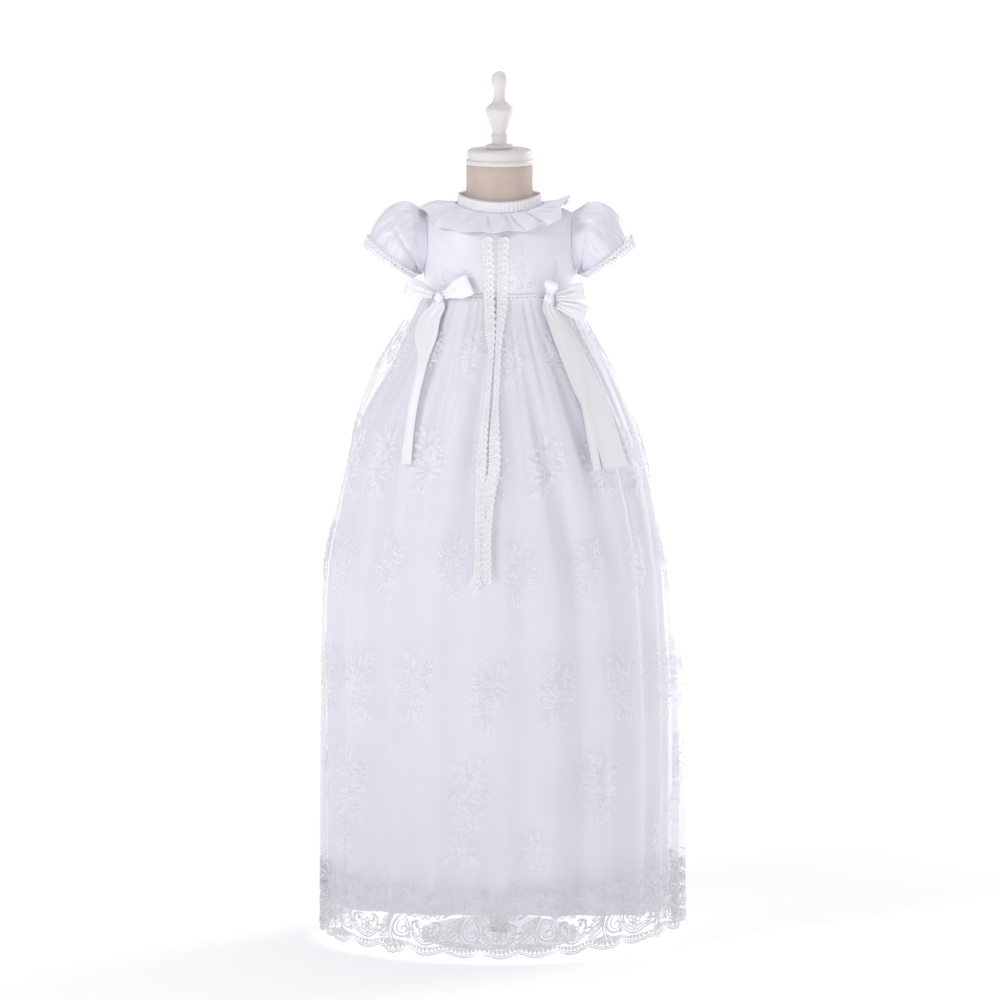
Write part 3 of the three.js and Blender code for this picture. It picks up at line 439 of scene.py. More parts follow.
# Soft pulls in the satin: each runs from one place to another, by angle and level, with the
# depth of its hollow and its half width in degrees.
BODICE_PULLS = rows_of(
    "angle level to_angle to_level depth width",
    (-62, 2.2, -34, 1.2, 0.0009, 4.5),
    (-60, 3.4, -38, 2.6, 0.0007, 4.0),
    (58, 2.4, 30, 1.3, 0.0010, 4.5),
    (60, 3.6, 40, 2.6, 0.0006, 4.0),
    (-24, 0.1, -30, 1.6, 0.0008, 3.0),
    (24, 0.1, 33, 1.5, 0.0008, 3.0),
    (44, 0.1, 50, 1.1, 0.0007, 3.0),
    (-46, 0.1, -55, 1.2, 0.0008, 3.0),
    (128, 2.5, 152, 1.2, 0.0009, 4.5),
    (-126, 2.3, -150, 1.0, 0.0009, 4.5),
    (118, 3.6, 142, 3.0, 0.0007, 4.0),
    (-119, 3.7, -140, 2.9, 0.0007, 4.0),
    (150, 0.1, 146, 1.3, 0.0008, 3.0),
    (-148, 0.1, -140, 1.5, 0.0008, 3.0),
    (120, 0.1, 116, 1.0, 0.0007, 3.0),
    (-118, 0.1, -122, 1.2, 0.0007, 3.0),
)


def crease_depth(table, across, up, stretch, round_bottom=2.0):
    """Depth of listed creases. stretch is how much of across makes one of up, and a
    low round_bottom makes a crisp crease."""
    depth = np.zeros(np.broadcast(across, up).shape)
    for x, y, to_x, to_y, deep, wide in zip(*table.values()):
        run = np.array([(to_x - x) / stretch, to_y - y])
        reach = np.hypot(*run)
        off_x, off_y = (across - x) / stretch, up - y
        share = (off_x * run[0] + off_y * run[1]) / reach**2
        away = (off_x * run[1] - off_y * run[0]) / reach * stretch
        ends = smooth_step(share, -0.15, 0.3) * (1 - smooth_step(share, 0.6, 1.15))
        depth += deep * ends * np.exp(-(np.abs(away / wide) ** round_bottom))
    return depth


def bodice_grid(start, end, cells):
    armhole = 3 - 2 * np.cos(np.linspace(0, math.pi, 29))
    levels = np.concatenate([np.linspace(0, 1, 9)[:-1], armhole, np.linspace(5, 7, 13)[1:]])
    u = np.linspace(0, 1, cells + 1)[None, :]
    level = levels[:, None]
    angle = lerp(start(level), end(level), u)
    grid = torso_point(angle, level)
    near_edge = smooth_step(u, 0, 0.08) * (1 - smooth_step(u, 0.92, 1))
    pulls = crease_depth(BODICE_PULLS, angle, level, 20) * near_edge
    return grid - normal_of(torso_point, angle, level) * pulls[..., None]


bodice_satin = satin_finish("bodice_satin", 0.40, SATIN_LIGHT, SATIN_DARK, 0.12, 0.10)
BACK_GAP = 0.14
bodice_front = cloth_wall("bodice_front_satin", bodice_grid(
    lambda level: armhole_angle(level) - 90, lambda level: 90 - armhole_angle(level), 72),
    SATIN, bodice_satin)
bodice_right = cloth_wall("bodice_back_right_satin", bodice_grid(
    lambda level: 90 + armhole_angle(level), lambda level: 180 - BACK_GAP + 0 * level, 40),
    SATIN, bodice_satin)
bodice_left = cloth_wall("bodice_back_left_satin", bodice_grid(
    lambda level: BACK_GAP - 180 + 0 * level, lambda level: -90 - armhole_angle(level), 40),
    SATIN, bodice_satin)
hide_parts("bodice_front")
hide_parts("bodice_back_right")
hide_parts("bodice_back_left")

# The back opening: a plain satin placket with four small pearl buttons, each sewn on by its
# shank through a worked buttonhole.
PLACKET_HALF = 0.007
BACK_RADIUS = 0.065
PLACKET_LEVELS = (0.05, 4.75)
BUTTON_LEVELS = (0.5, 1.8, 3.1, 4.3)
BUTTON_RADIUS = 0.0052
BUTTON_THICK = 0.0026
placket_levels = np.linspace(*PLACKET_LEVELS, 60)[:, None]
placket_half_angle = math.degrees(PLACKET_HALF / BACK_RADIUS)
placket_angles = np.linspace(180 - placket_half_angle, 180 + placket_half_angle, 13)[None, :]
placket_out = SEAM + SATIN + 0.0002 * np.sin(placket_levels * 9)
placket_grid = torso_point(placket_angles, placket_levels)
placket_grid = placket_grid + (normal_of(torso_point, placket_angles, placket_levels)
                               * placket_out[..., None])
placket = cloth_wall("back_placket_satin", placket_grid, SATIN, bodice_satin)
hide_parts("back_placket")
pearl, pearl_shader = new_finish("pearl_button", 0.22, Coat_Weight=0.5, Coat_Roughness=0.12)
clouded_colour(pearl, pearl_shader, (0.90, 0.88, 0.85), (0.82, 0.81, 0.80), 0.003)
for number, level in enumerate(BUTTON_LEVELS, 1):
    outward = normal_of(torso_point, np.array(180.0), np.array(level))
    seat = torso_point(180.0, level) + outward * (SATIN + 2 * SEAM + 0.00015)
    profile = [(0.9 * BUTTON_RADIUS, 0), (0.985 * BUTTON_RADIUS, 0.25 * BUTTON_THICK),
               (BUTTON_RADIUS, 0.5 * BUTTON_THICK), (0.97 * BUTTON_RADIUS, 0.8 * BUTTON_THICK),
               (0.87 * BUTTON_RADIUS, BUTTON_THICK), (0.74 * BUTTON_RADIUS, 0.9 * BUTTON_THICK),
               (0.6 * BUTTON_RADIUS, 0.7 * BUTTON_THICK), (0.2 * BUTTON_RADIUS, 0.66 * BUTTON_THICK)]
    button = turned_piece(f"back_pearl_button_{number}", profile, pearl, 32)
    turn = Vector((0, 0, 1)).rotation_difference(Vector(outward))
    button.data.transform(turn.to_matrix().to_4x4())
    button.data.transform(Matrix.Translation(Vector(seat)))
    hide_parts(f"back_button_{number}")

# The neckband: a narrow stand of ribbed lace, whipped to the neck seam, with a row of tiny
# loops along its top edge.
BAND_HEIGHT = 0.0115
BAND_LEAN = 0.0015
BAND_THICK = 0.0012
BAND_RIBS = 60
RIB_DEPTH = 0.0009


def thread_finish(name, light, dark, twist, alpha=1.0):
    material, shader = new_finish(name, 0.7, Sheen_Weight=0.25, Sheen_Roughness=0.4,
                                  Specular_IOR_Level=0.35, Alpha=alpha)
    place = clouded_colour(material, shader, light, dark, 0.006)
    strands = add_node(material, "ShaderNodeTexWave", [("Vector", place.outputs["Object"])],
                       Scale=twist, Distortion=2.5, Detail=2, bands_direction="DIAGONAL")
    add_bump(material, shader, (strands.outputs["Fac"], 0.3, 0.0003))
    return material


cotton_thread = thread_finish("cotton_thread", (0.94, 0.925, 0.965), (0.89, 0.875, 0.915), 700)
band_v = np.array([0, 0.05, 0.12, 0.3, 0.5, 0.7, 0.88, 0.95, 1])[:, None]
band_angle = np.linspace(-180 + BACK_GAP, 180 - BACK_GAP, BAND_RIBS * 10 + 1)[None, :]
rib_wave = np.abs(np.cos(np.radians(band_angle) * BAND_RIBS / 2))
bound_edge = np.maximum(1 - smooth_step(band_v, 0.02, 0.14), smooth_step(band_v, 0.84, 0.94))
band_out = RIB_DEPTH * lerp(rib_wave, 0.9, bound_edge) - BAND_LEAN * band_v
band_grid = from_axis(torso_point(band_angle, NECK_LEVEL) + 0 * band_v[..., None], band_out)
band_grid[..., 2] += lerp(SEAM, BAND_HEIGHT, band_v)
neckband = cloth_wall("neckband_lace", band_grid, BAND_THICK, cotton_thread, sharp=80)
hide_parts("neckband")


class Motif:
    """Points and faces of many small shapes, joined into one piece."""

    def __init__(self):
        self.points = []
        self.faces = []
        self.count = 0

    def add(self, points, faces):
        points = np.asarray(points, float).reshape(-1, 3)
        self.points.append(points)
        self.faces += [tuple(int(i) + self.count for i in face) for face in faces]
        self.count += len(points)

    def piece(self, name, finish, slot, sharp=60):
        return new_piece(name, np.concatenate(self.points), self.faces, finish, sharp)


def thread_tube(motif, route, outward, radius, sides=6):
    """A round thread along a route, with a direction that points out of the cloth."""
    route = np.asarray(route, float)
    ahead = np.gradient(route, axis=0)
    ahead /= np.linalg.norm(ahead, axis=1, keepdims=True)
    outward = np.broadcast_to(np.asarray(outward, float), route.shape)
    across = np.cross(ahead, outward)
    across /= np.maximum(np.linalg.norm(across, axis=1, keepdims=True), 1e-9)
    up = np.cross(across, ahead)
    turns = np.linspace(0, 2 * math.pi, sides, endpoint=False)
    radius = np.broadcast_to(radius, len(route))[:, None, None]
    ring = across[:, None] * np.cos(turns)[None, :, None] + up[:, None] * np.sin(turns)[None, :, None]
    points = route[:, None] + ring * radius
    faces = ring_faces(len(route), sides)
    faces.append(tuple(reversed(range(sides))))
    faces.append(tuple(range((len(route) - 1) * sides, len(route) * sides)))
    motif.add(points, faces)


picots = Motif()
PICOTS = 56
PICOT_HALF_TURN = 2.4
PICOT_RISE = 0.0014
PICOT_THREAD = 0.0004
for k in range(PICOTS):
    middle = -180 + (k + 0.5) * 360 / PICOTS
    spread = np.linspace(-PICOT_HALF_TURN, PICOT_HALF_TURN, 9)
    loop = from_axis(torso_point(middle + spread, NECK_LEVEL), -BAND_LEAN + RIB_DEPTH * 0.3)
    arch = np.sqrt(np.maximum(0, 1 - (spread / PICOT_HALF_TURN) ** 2))
    loop[:, 2] += BAND_HEIGHT - 0.0002 + PICOT_RISE * arch
    outward = np.stack([np.sin(np.radians(middle + spread)), -np.cos(np.radians(middle + spread)),
                        0 * spread], 1)
    thread_tube(picots, loop, outward, PICOT_THREAD, 5)
neck_picots = picots.piece("neckband_picots", cotton_thread, "braid")

# The collar: one bias ruffle of satin, gathered under the neckband and pressed into a flat flap
# on the left shoulder, soft waves across the front and a fan that stands up on the right.
RUFFLE_TOP = 6.85
RUFFLE_EDGE = rows_of(
    "angle level",
    (-180, 5.14), (-120, 5.1), (-82, 5.02), (-60, 4.66), (-42, 4.42), (-20, 4.6), (0, 4.76),
    (25, 4.78), (48, 4.95), (72, 5.5), (110, 5.3), (150, 5.16), (180, 5.14),
)
RUFFLE_STAND_TOP = 0.0019
RUFFLE_STAND_EDGE = 0.0028
RUFFLE_WAVE = 0.004
RUFFLE_FLARE = {"angle": 74, "spread": 13, "stand": 0.010}
RUFFLE_WAVES = 13
RUFFLE_DRIFT = 1.2
RUFFLE_DIP = 0.10
RUFFLE_GATHERS = 43
RUFFLE_FOLD_SHARE = 1.3
RUFFLE_FOLDS = rows_of(
    "angle v to_angle to_v depth width",
    (-64, 0.9, -52, -0.1, 0.0030, 2.2), (-47, 0.9, -50, 0.0, -0.0022, 3.0),
    (-33, 0.95, -30, 0.3, 0.0016, 1.8), (-12, 0.95, -4, -0.1, 0.0034, 2.0),
    (2, 0.95, 8, 0.1, -0.0018, 3.0), (14, 0.95, 20, -0.1, 0.0036, 1.8),
    (27, 0.95, 32, -0.1, -0.0024, 3.0), (33, 0.9, 41, -0.1, 0.0034, 2.2),
    (47, 0.9, 56, 0.0, 0.0026, 2.0), (62, 0.9, 68, 0.0, 0.0030, 2.4), (84, 0.9, 80, 0.0, 0.0030, 2.6),
    (118, 0.9, 122, 0.0, 0.0030, 2.6), (144, 0.9, 140, 0.1, 0.0024, 2.2),
    (-96, 0.9, -100, 0.0, 0.0030, 2.6), (-128, 0.9, -124, 0.1, 0.0026, 2.2),
    (-152, 0.9, -156, 0.0, 0.0030, 2.4),
)


def ruffle_point(angle, v):
    phase = np.radians(angle) * RUFFLE_WAVES + RUFFLE_DRIFT * np.sin(np.radians(angle) * 2)
    edge = read_column(RUFFLE_EDGE, "angle", angle, "level") - RUFFLE_DIP * np.cos(phase + 0.5)
    level = lerp(edge, RUFFLE_TOP, v)
    free = np.maximum(0, 1 - v) ** 1.2
    flare = RUFFLE_FLARE["stand"] * np.exp(-(((angle - RUFFLE_FLARE["angle"])
                                              / RUFFLE_FLARE["spread"]) ** 2))
    gathers = np.cos(np.radians(angle) * RUFFLE_GATHERS + 3 * np.sin(np.radians(angle) * 5))
    fine = 0.0006 * gathers * smooth_step(v, 0.35, 0.8) * (0.6 + 0.4 * np.sin(np.radians(angle) * 4))
    fine = fine - RUFFLE_FOLD_SHARE * crease_depth(RUFFLE_FOLDS, angle, v, 30, 1.4)
    lift = RUFFLE_STAND_TOP + (RUFFLE_STAND_EDGE + RUFFLE_WAVE * (1 + np.cos(phase)) + flare) * free
    return torso_point(angle, level) + normal_of(torso_point, angle, level) * (lift + fine)[..., None]


ruffle_v = np.linspace(0, 1, 21)[:, None]
ruffle_angle = np.linspace(-180 + BACK_GAP, 180 - BACK_GAP, 401)[None, :]
ruffle = cloth_wall("collar_ruffle_satin", ruffle_point(ruffle_angle, ruffle_v), SATIN * 0.8,
                    bodice_satin)
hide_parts("collar_ruffle")

# The puff sleeves: satin, gathered into the armhole and into the cuff. Each is a fan of rings
# that turn about a point under the arm.
SLEEVE_PIVOT = {"out": 0.090, "up": 0.765, "near": 0.0095}
SLEEVE = rows_of(
    "at lean reach depth",
    (0, 2, 0.082, 0.028), (0.2, 9, 0.089, 0.036), (0.4, 21, 0.090, 0.042),
    (0.65, 35, 0.0845, 0.043), (0.85, 48, 0.0775, 0.040), (1, 56, 0.0745, 0.036),
)
SLEEVE_GATHERS = 9
SLEEVE_GATHER_DEPTH = 0.0012
SLEEVE_CREASE = {"depth": 0.0016, "count": 4, "slant": 3}


def armhole_edge(side, turn):
    level = 3 + 2 * np.cos(turn)
    angle = side * (90 + ARMHOLE_ANGLE * np.sin(turn))
    return torso_point(angle, level) + normal_of(torso_point, angle, level) * (SEAM + 0.00015)


def sleeve_point(side, part, v, smooth=False, fine=0.0):
    turn = (part if side < 0 else -part) * 2 * math.pi
    read = {name: read_column(SLEEVE, "at", np.clip(v, 0, 1), name) for name in ("lean", "reach", "depth")}
    lean = np.radians(read["lean"])
    half = (read["reach"] - SLEEVE_PIVOT["near"]) / 2
    at_cuff = smooth_step(v, 0.55, 1)
    at_head = ((1 - smooth_step(v, 0.05, 0.5)) * smooth_step(v, 0, 0.1)
               * np.maximum(0, np.cos(turn)))
    wave = 1 if smooth else np.cos(turn * SLEEVE_GATHERS)
    crease_wave = 1 if smooth else np.sin(turn * SLEEVE_CREASE["count"] + v * SLEEVE_CREASE["slant"])
    crease = SLEEVE_CREASE["depth"] * np.sin(math.pi * v) * crease_wave
    lift = SLEEVE_GATHER_DEPTH * wave * (at_cuff + at_head) + crease + fine
    along = SLEEVE_PIVOT["near"] + half + (half + lift) * np.cos(turn)
    shape = np.stack(np.broadcast_arrays(
        side * (SLEEVE_PIVOT["out"] + along * np.sin(lean)),
        (read["depth"] + lift) * np.sin(turn),
        SLEEVE_PIVOT["up"] + along * np.cos(lean)), -1)
    blend = smooth_step(v, 0, 0.12) + 0 * turn
    return lerp(armhole_edge(side, turn + 0 * v), shape, blend[..., None])


# Folds of the puffs: from a place to another, by share of the way round and along the sleeve.
SLEEVE_FOLDS = rows_of(
    "part v to_part to_v depth width",
    (0.93, 0.06, 0.86, 0.62, 0.0030, 0.022), (0.02, 0.06, 0.97, 0.55, 0.0026, 0.020),
    (0.86, 0.10, 0.78, 0.75, 0.0034, 0.024), (0.78, 0.15, 0.72, 0.80, 0.0028, 0.022),
    (0.08, 0.06, 0.10, 0.50, 0.0024, 0.020), (0.16, 0.10, 0.20, 0.60, 0.0028, 0.022),
    (0.68, 0.20, 0.66, 0.90, 0.0030, 0.024), (0.90, 0.45, 0.93, 0.95, 0.0024, 0.018),
    (0.83, 0.55, 0.84, 0.98, 0.0022, 0.018), (0.74, 0.60, 0.77, 1.00, 0.0024, 0.020),
    (0.25, 0.15, 0.27, 0.70, 0.0026, 0.022), (0.33, 0.30, 0.31, 0.95, 0.0026, 0.022),
    (0.13, 0.50, 0.11, 0.98, 0.0022, 0.018), (0.44, 0.30, 0.46, 0.90, 0.0022, 0.020),
    (0.58, 0.30, 0.56, 0.95, 0.0024, 0.020), (0.98, 0.60, 1.00, 1.00, 0.0020, 0.016),
)


def sleeve_gathers(part, v, seed):
    turn = part * 2 * math.pi
    fine = 0.00055 * np.cos(turn * 31 + 3 * np.sin(turn * 2 + seed)) * smooth_step(v, 0.6, 0.97)
    head = 0.0006 * np.cos(turn * 27 + 2.5 * np.sin(turn * 3 + seed)) * (1 - smooth_step(v, 0.1, 0.5))
    folds = sum(crease_depth(SLEEVE_FOLDS, part + whole, v, 0.36, 1.3) for whole in (-1, 0, 1))
    return fine + head * smooth_step(v, 0, 0.08) * np.maximum(0, np.cos(turn)) - 1.25 * folds


sleeve_satin = satin_finish("sleeve_satin", 0.31, SATIN_LIGHT, SATIN_DARK, 0.12, 0.16)
sleeve_rows = np.concatenate([np.linspace(0, 0.2, 10)[:-1], np.linspace(0.2, 1, 40)])[:, None]
sleeve_parts = np.linspace(0, 1, 240, endpoint=False)[None, :]
for side, name in ((-1, "left"), (1, "right")):
    fine = sleeve_gathers(sleeve_parts, sleeve_rows, 1.3 if side < 0 else 4.1)
    grid = sleeve_point(side, sleeve_parts, sleeve_rows, fine=fine)
    sleeve = cloth_wall(f"sleeve_{name}_satin", grid, SATIN * 0.8, sleeve_satin, closed=True)
    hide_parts(f"sleeve_{name}")

# The cuff braid: padded cotton crescents on both sides of a cord, sewn round each cuff.
CUFF_LEAVES = 22
CUFF_LEAF_HIGH = 0.0072
CUFF_PAST = 0.0042
CUFF_STAND = 0.0011
CUFF_SPINE_STAND = 0.0018
CUFF_SPINE = 0.0009


def cuff_place(side, part, past):
    """A place on the cuff, by share of the way round and distance beyond its edge."""
    edge = sleeve_point(side, part, 1.0, smooth=True)
    run = edge - sleeve_point(side, part, 0.9, smooth=True)
    return edge + run / np.linalg.norm(run) * past


for side, name in ((-1, "left"), (1, "right")):
    braid = Motif()
    middle = sum(cuff_place(side, k / 8, 0) for k in range(8)) / 8
    ways = np.linspace(0, 1, 9)
    spine_line = []
    for k in range(CUFF_LEAVES * 2):
        part = k / (CUFF_LEAVES * 2)
        pitch = 1 / (CUFF_LEAVES * 2)
        outward = cuff_place(side, part, 0) - middle
        outward /= np.linalg.norm(outward)
        for reach, swell in ((-CUFF_LEAF_HIGH, 0.0013), (CUFF_PAST, 0.0012)):
            hook = [cuff_place(side, part + pitch * 1.15 * t, reach * math.sin(math.pi * t) ** 0.7)
                    + outward * (CUFF_STAND + 0.0006 * math.sin(math.pi * t)) for t in ways]
            thread_tube(braid, hook, outward, 0.0004 + (swell - 0.0004) * np.sin(math.pi * ways), 6)
        spine_line.append(cuff_place(side, part, 0) + outward * CUFF_SPINE_STAND)
    spine_line.append(spine_line[0])
    thread_tube(braid, spine_line, outward, CUFF_SPINE, 6)
    cuff = braid.piece(f"cuff_braid_{name}_leaves", cotton_thread, "braid")
    cuff.visible_shadow = False
    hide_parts(f"cuff_braid_{name}")

# The skirt: a full satin tube gathered into the waist seam. Its large soft troughs start between
# the gathers and turn outwards as they fall.
WAIST = 0.75
LINING = rows_of(
    "height left right front back",
    (0.045, 0.198, 0.195, 0.160, 0.160), (0.277, 0.1985, 0.195, 0.157, 0.159),
    (0.372, 0.1995, 0.190, 0.154, 0.158), (0.440, 0.195, 0.1855, 0.149, 0.155),
    (0.505, 0.182, 0.177, 0.141, 0.149), (0.567, 0.169, 0.1635, 0.130, 0.140),
    (0.600, 0.160, 0.153, 0.122, 0.132), (0.633, 0.143, 0.140, 0.112, 0.120),
    (0.665, 0.124, 0.125, 0.100, 0.106), (0.702, 0.107, 0.104, 0.085, 0.088),
    (0.735, 0.093, 0.089, 0.071, 0.069), (0.750, 0.085, 0.085, 0.066, 0.062),
)
LINING_HEM = {"left": 0.044, "front": 0.053, "right": 0.036, "back": 0.048}
HEM_EASE_TOP = 0.3
FOLDS = rows_of(
    "waist hem depth width",
    (-72, -70, 0.005, 9), (-50, -46, 0.006, 9), (-27, -31, 0.005, 8), (-9, -15, 0.004, 8),
    (4, 9, 0.0035, 8), (13, 29, 0.0065, 9), (32, 46, 0.005, 8), (55, 64, 0.006, 8),
    (78, 81, 0.005, 8), (101, 99, 0.005, 8), (122, 118, 0.006, 9), (146, 140, 0.005, 9),
    (168, 163, 0.006, 9), (190, 186, 0.005, 9), (212, 208, 0.006, 9), (233, 232, 0.005, 9),
    (256, 258, 0.006, 9),
)
FOLD_START_WIDTH = 5


def round_value(angle, left, right, front, back):
    side_share = np.sin(np.radians(angle)) ** 2
    side = np.where(np.sin(np.radians(angle)) > 0, right, left)
    end = np.where(np.cos(np.radians(angle)) > 0, front, back)
    return lerp(end, side, side_share)


def angle_between(angle, other):
    return np.abs((angle - other + 540) % 360 - 180)


def trough_depth(angle, height):
    down = (WAIST - height) / WAIST
    grown = smooth_step(down, 0, 0.25)
    turned = smooth_step(down, 0, 0.5)
    depth = 0
    for waist, hem, deep, wide in zip(*FOLDS.values()):
        away = angle_between(angle, lerp(waist, hem, turned)) / lerp(FOLD_START_WIDTH, wide, turned)
        depth = depth + np.where(away < 1, deep * grown * np.cos(away * math.pi / 2) ** 2, 0)
    return depth


def eased_height(height, nominal_hem, hem_here):
    low = lerp(hem_here, HEM_EASE_TOP, (height - nominal_hem) / (HEM_EASE_TOP - nominal_hem))
    return np.where(height >= HEM_EASE_TOP, height, low)


def read_round(table, height):
    return {name: read_column(table, "height", height, name)
            for name in ("left", "right", "front", "back")}


def lining_point(angle, height):
    hem = LINING["height"][0]
    z = eased_height(height, hem, round_value(angle, **LINING_HEM))
    oval = read_round(LINING, np.maximum(height, hem))
    point = round_body(angle, **oval, height=z)
    return from_axis(point, -trough_depth(angle, height))


# Pleats pressed in by the gathers: they leave the waist at one angle, drift to another, and
# run out at different lengths. The back repeats the front's, half a turn round.
PLEATS = rows_of(
    "waist low depth width length",
    (-80, -84, 0.0022, 2.0, 0.16), (-66, -70, 0.0028, 2.2, 0.24), (-57, -60, 0.0020, 1.8, 0.14),
    (-43, -48, 0.0032, 2.4, 0.30), (-36, -40, 0.0018, 1.6, 0.12), (-20, -25, 0.0030, 2.2, 0.24),
    (-14, -17, 0.0016, 1.5, 0.10), (-3, -4, 0.0024, 1.9, 0.18), (8, 15, 0.0032, 2.2, 0.34),
    (19, 31, 0.0036, 2.4, 0.38), (25, 35, 0.0018, 1.6, 0.13), (39, 50, 0.0030, 2.2, 0.28),
    (47, 56, 0.0022, 1.8, 0.15), (62, 68, 0.0028, 2.2, 0.22), (70, 74, 0.0018, 1.6, 0.12),
    (85, 87, 0.0026, 2.0, 0.18),
)


def pleat_depth(angle, height):
    fall = WAIST - height
    depth = 0
    for turn in (0, 180):
        for waist, low, deep, wide, length in zip(*PLEATS.values()):
            share = fall / length
            middle = lerp(waist, low, np.clip(share, 0, 1)) + turn
            away = angle_between(angle, middle) / (wide * (1 + 0.8 * share))
            shape = smooth_step(fall, 0, 0.012) * (1 - smooth_step(share, 0.45, 1))
            depth = depth + np.where(away < 1, deep * shape * np.cos(away * math.pi / 2) ** 2, 0)
    return depth


SATIN_TROUGH = 0.5
SATIN_PLEAT = 0.8


def satin_point(angle, height):
    fold = SATIN_TROUGH * trough_depth(angle, height) + SATIN_PLEAT * pleat_depth(angle, height)
    return from_axis(lining_point(angle, height), -fold)


skirt_satin = satin_finish("skirt_satin", 0.40, SATIN_LIGHT, SATIN_DARK, 0.12, 0.12)
lining_heights = np.linspace(LINING["height"][0], WAIST, 80)[:, None]
lining_angles = np.linspace(0, 360, 360, endpoint=False)[None, :]
lining = cloth_wall("skirt_satin_tube", satin_point(lining_angles, lining_heights), SATIN,
                    skirt_satin, closed=True)
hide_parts("lining_front", "lining_back")

# The overskirt: one tube of fine cotton net, fuller than the satin, gathered with it into the
# waist and falling in soft flutes to a scalloped hem.
NET_STAND = rows_of(
    "height left right front back",
    (0.008, 0.010, 0.020, 0.010, 0.013), (0.277, 0.0085, 0.018, 0.006, 0.009),
    (0.372, 0.006, 0.016, 0.005, 0.007), (0.440, 0.007, 0.011, 0.004, 0.006),
    (0.505, 0.006, 0.0045, 0.0035, 0.005), (0.567, 0.004, 0.0042, 0.0038, 0.0042),
    (0.600, 0.007, 0.0045, 0.004, 0.0044), (0.633, 0.013, 0.005, 0.0038, 0.005),
    (0.665, 0.019, 0.006, 0.0032, 0.006), (0.702, 0.012, 0.0045, 0.0028, 0.005),
    (0.735, 0.004, 0.003, 0.0024, 0.003), (0.750, 0.0016, 0.0016, 0.0016, 0.0016),
)
NET_HEM = {"left": 0.011, "front": 0.0055, "right": 0.020, "back": 0.009}
NET_TROUGH = 0.85
NET_PLEAT = 0.7
GATHERS = 30
GATHER_DEPTH = 0.0018
GATHER_DROP = 0.110
GATHER_DRIFT = 1.1
SCALLOPS = 30
SCALLOP_DEPTH = 0.006
SCALLOP_FADE = 0.025


def gather_lift(angle, height):
    fade = 1 - smooth_step(WAIST - height, 0, GATHER_DROP)
    phase = np.radians(angle) * GATHERS + GATHER_DRIFT * np.sin(np.radians(angle) * 3)
    return GATHER_DEPTH * fade * (0.5 + 0.5 * np.cos(phase))


def net_envelope(angle, height, puff):
    hem = NET_STAND["height"][0]
    z = eased_height(height, hem, round_value(angle, **NET_HEM))
    oval = read_round(LINING, np.maximum(height, LINING["height"][0]))
    stand = round_value(angle, **read_round(NET_STAND, height))
    return from_axis(round_body(angle, **oval, height=z), stand + puff)


# Flutes of the net alone, in and out, as a share of how far it stands off the satin. They lie
# closest at the sides, where the net hangs free.
NET_FLUTES = rows_of(
    "waist hem share width start",
    (-118, -121, -0.50, 4.0, 0.10), (-110, -113, 0.20, 2.6, 0.20), (-104, -107, -0.75, 2.2, 0.06),
    (-99, -101, -0.80, 2.0, 0.10), (-95, -96, -0.75, 1.8, 0.05), (-91, -92, -0.80, 1.8, 0.12),
    (-87, -88, -0.75, 1.8, 0.04), (-83, -84, -0.70, 1.8, 0.14), (-76, -77, -0.60, 2.4, 0.10),
    (-62, -64, 0.30, 3.0, 0.22), (-44, -40, -0.35, 3.0, 0.14), (-36, -36, 0.35, 2.6, 0.20),
    (-18, -22, -0.30, 2.6, 0.10), (-4, -6, 0.35, 2.8, 0.18), (10, 18, 0.40, 3.0, 0.08),
    (24, 36, -0.30, 2.8, 0.12), (38, 54, 0.35, 3.0, 0.16), (60, 70, -0.30, 3.0, 0.14),
    (74, 83, -0.55, 3.4, 0.05), (88, 95, -0.65, 3.6, 0.04), (104, 107, -0.45, 3.6, 0.10),
    (118, 114, 0.25, 3.0, 0.20), (132, 129, -0.40, 3.2, 0.12), (150, 150, 0.35, 3.0, 0.16),
    (164, 170, -0.35, 3.0, 0.10), (178, 176, 0.35, 3.0, 0.20), (192, 195, -0.35, 3.0, 0.12),
    (206, 201, 0.35, 3.0, 0.16), (224, 222, -0.40, 3.2, 0.10),
)


def flute_share(angle, height):
    down = (WAIST - height) / WAIST
    turned = smooth_step(down, 0, 0.5)
    share = 0
    for waist, hem, amount, wide, start in zip(*NET_FLUTES.values()):
        away = angle_between(angle, lerp(waist, hem, turned)) / wide
        grown = smooth_step(down, start, start + 0.16)
        share = share + np.where(away < 1, amount * grown * np.cos(away * math.pi / 2) ** 2, 0)
    return share


def net_point(angle, height):
    stand = round_value(angle, **read_round(NET_STAND, height))
    puff = gather_lift(angle, height) - NET_TROUGH * trough_depth(angle, height)
    puff = puff + stand * flute_share(angle, height) - NET_PLEAT * pleat_depth(angle, height)
    return net_envelope(angle, height, puff)


def scalloped_net(angle, height):
    point = net_point(angle, height)
    rise = SCALLOP_DEPTH * (1 - np.abs(np.cos(np.radians(angle) * SCALLOPS / 2)))
    low = NET_STAND["height"][0]
    point[..., 2] += rise * (1 - smooth_step(height, low, low + SCALLOP_FADE))
    return point


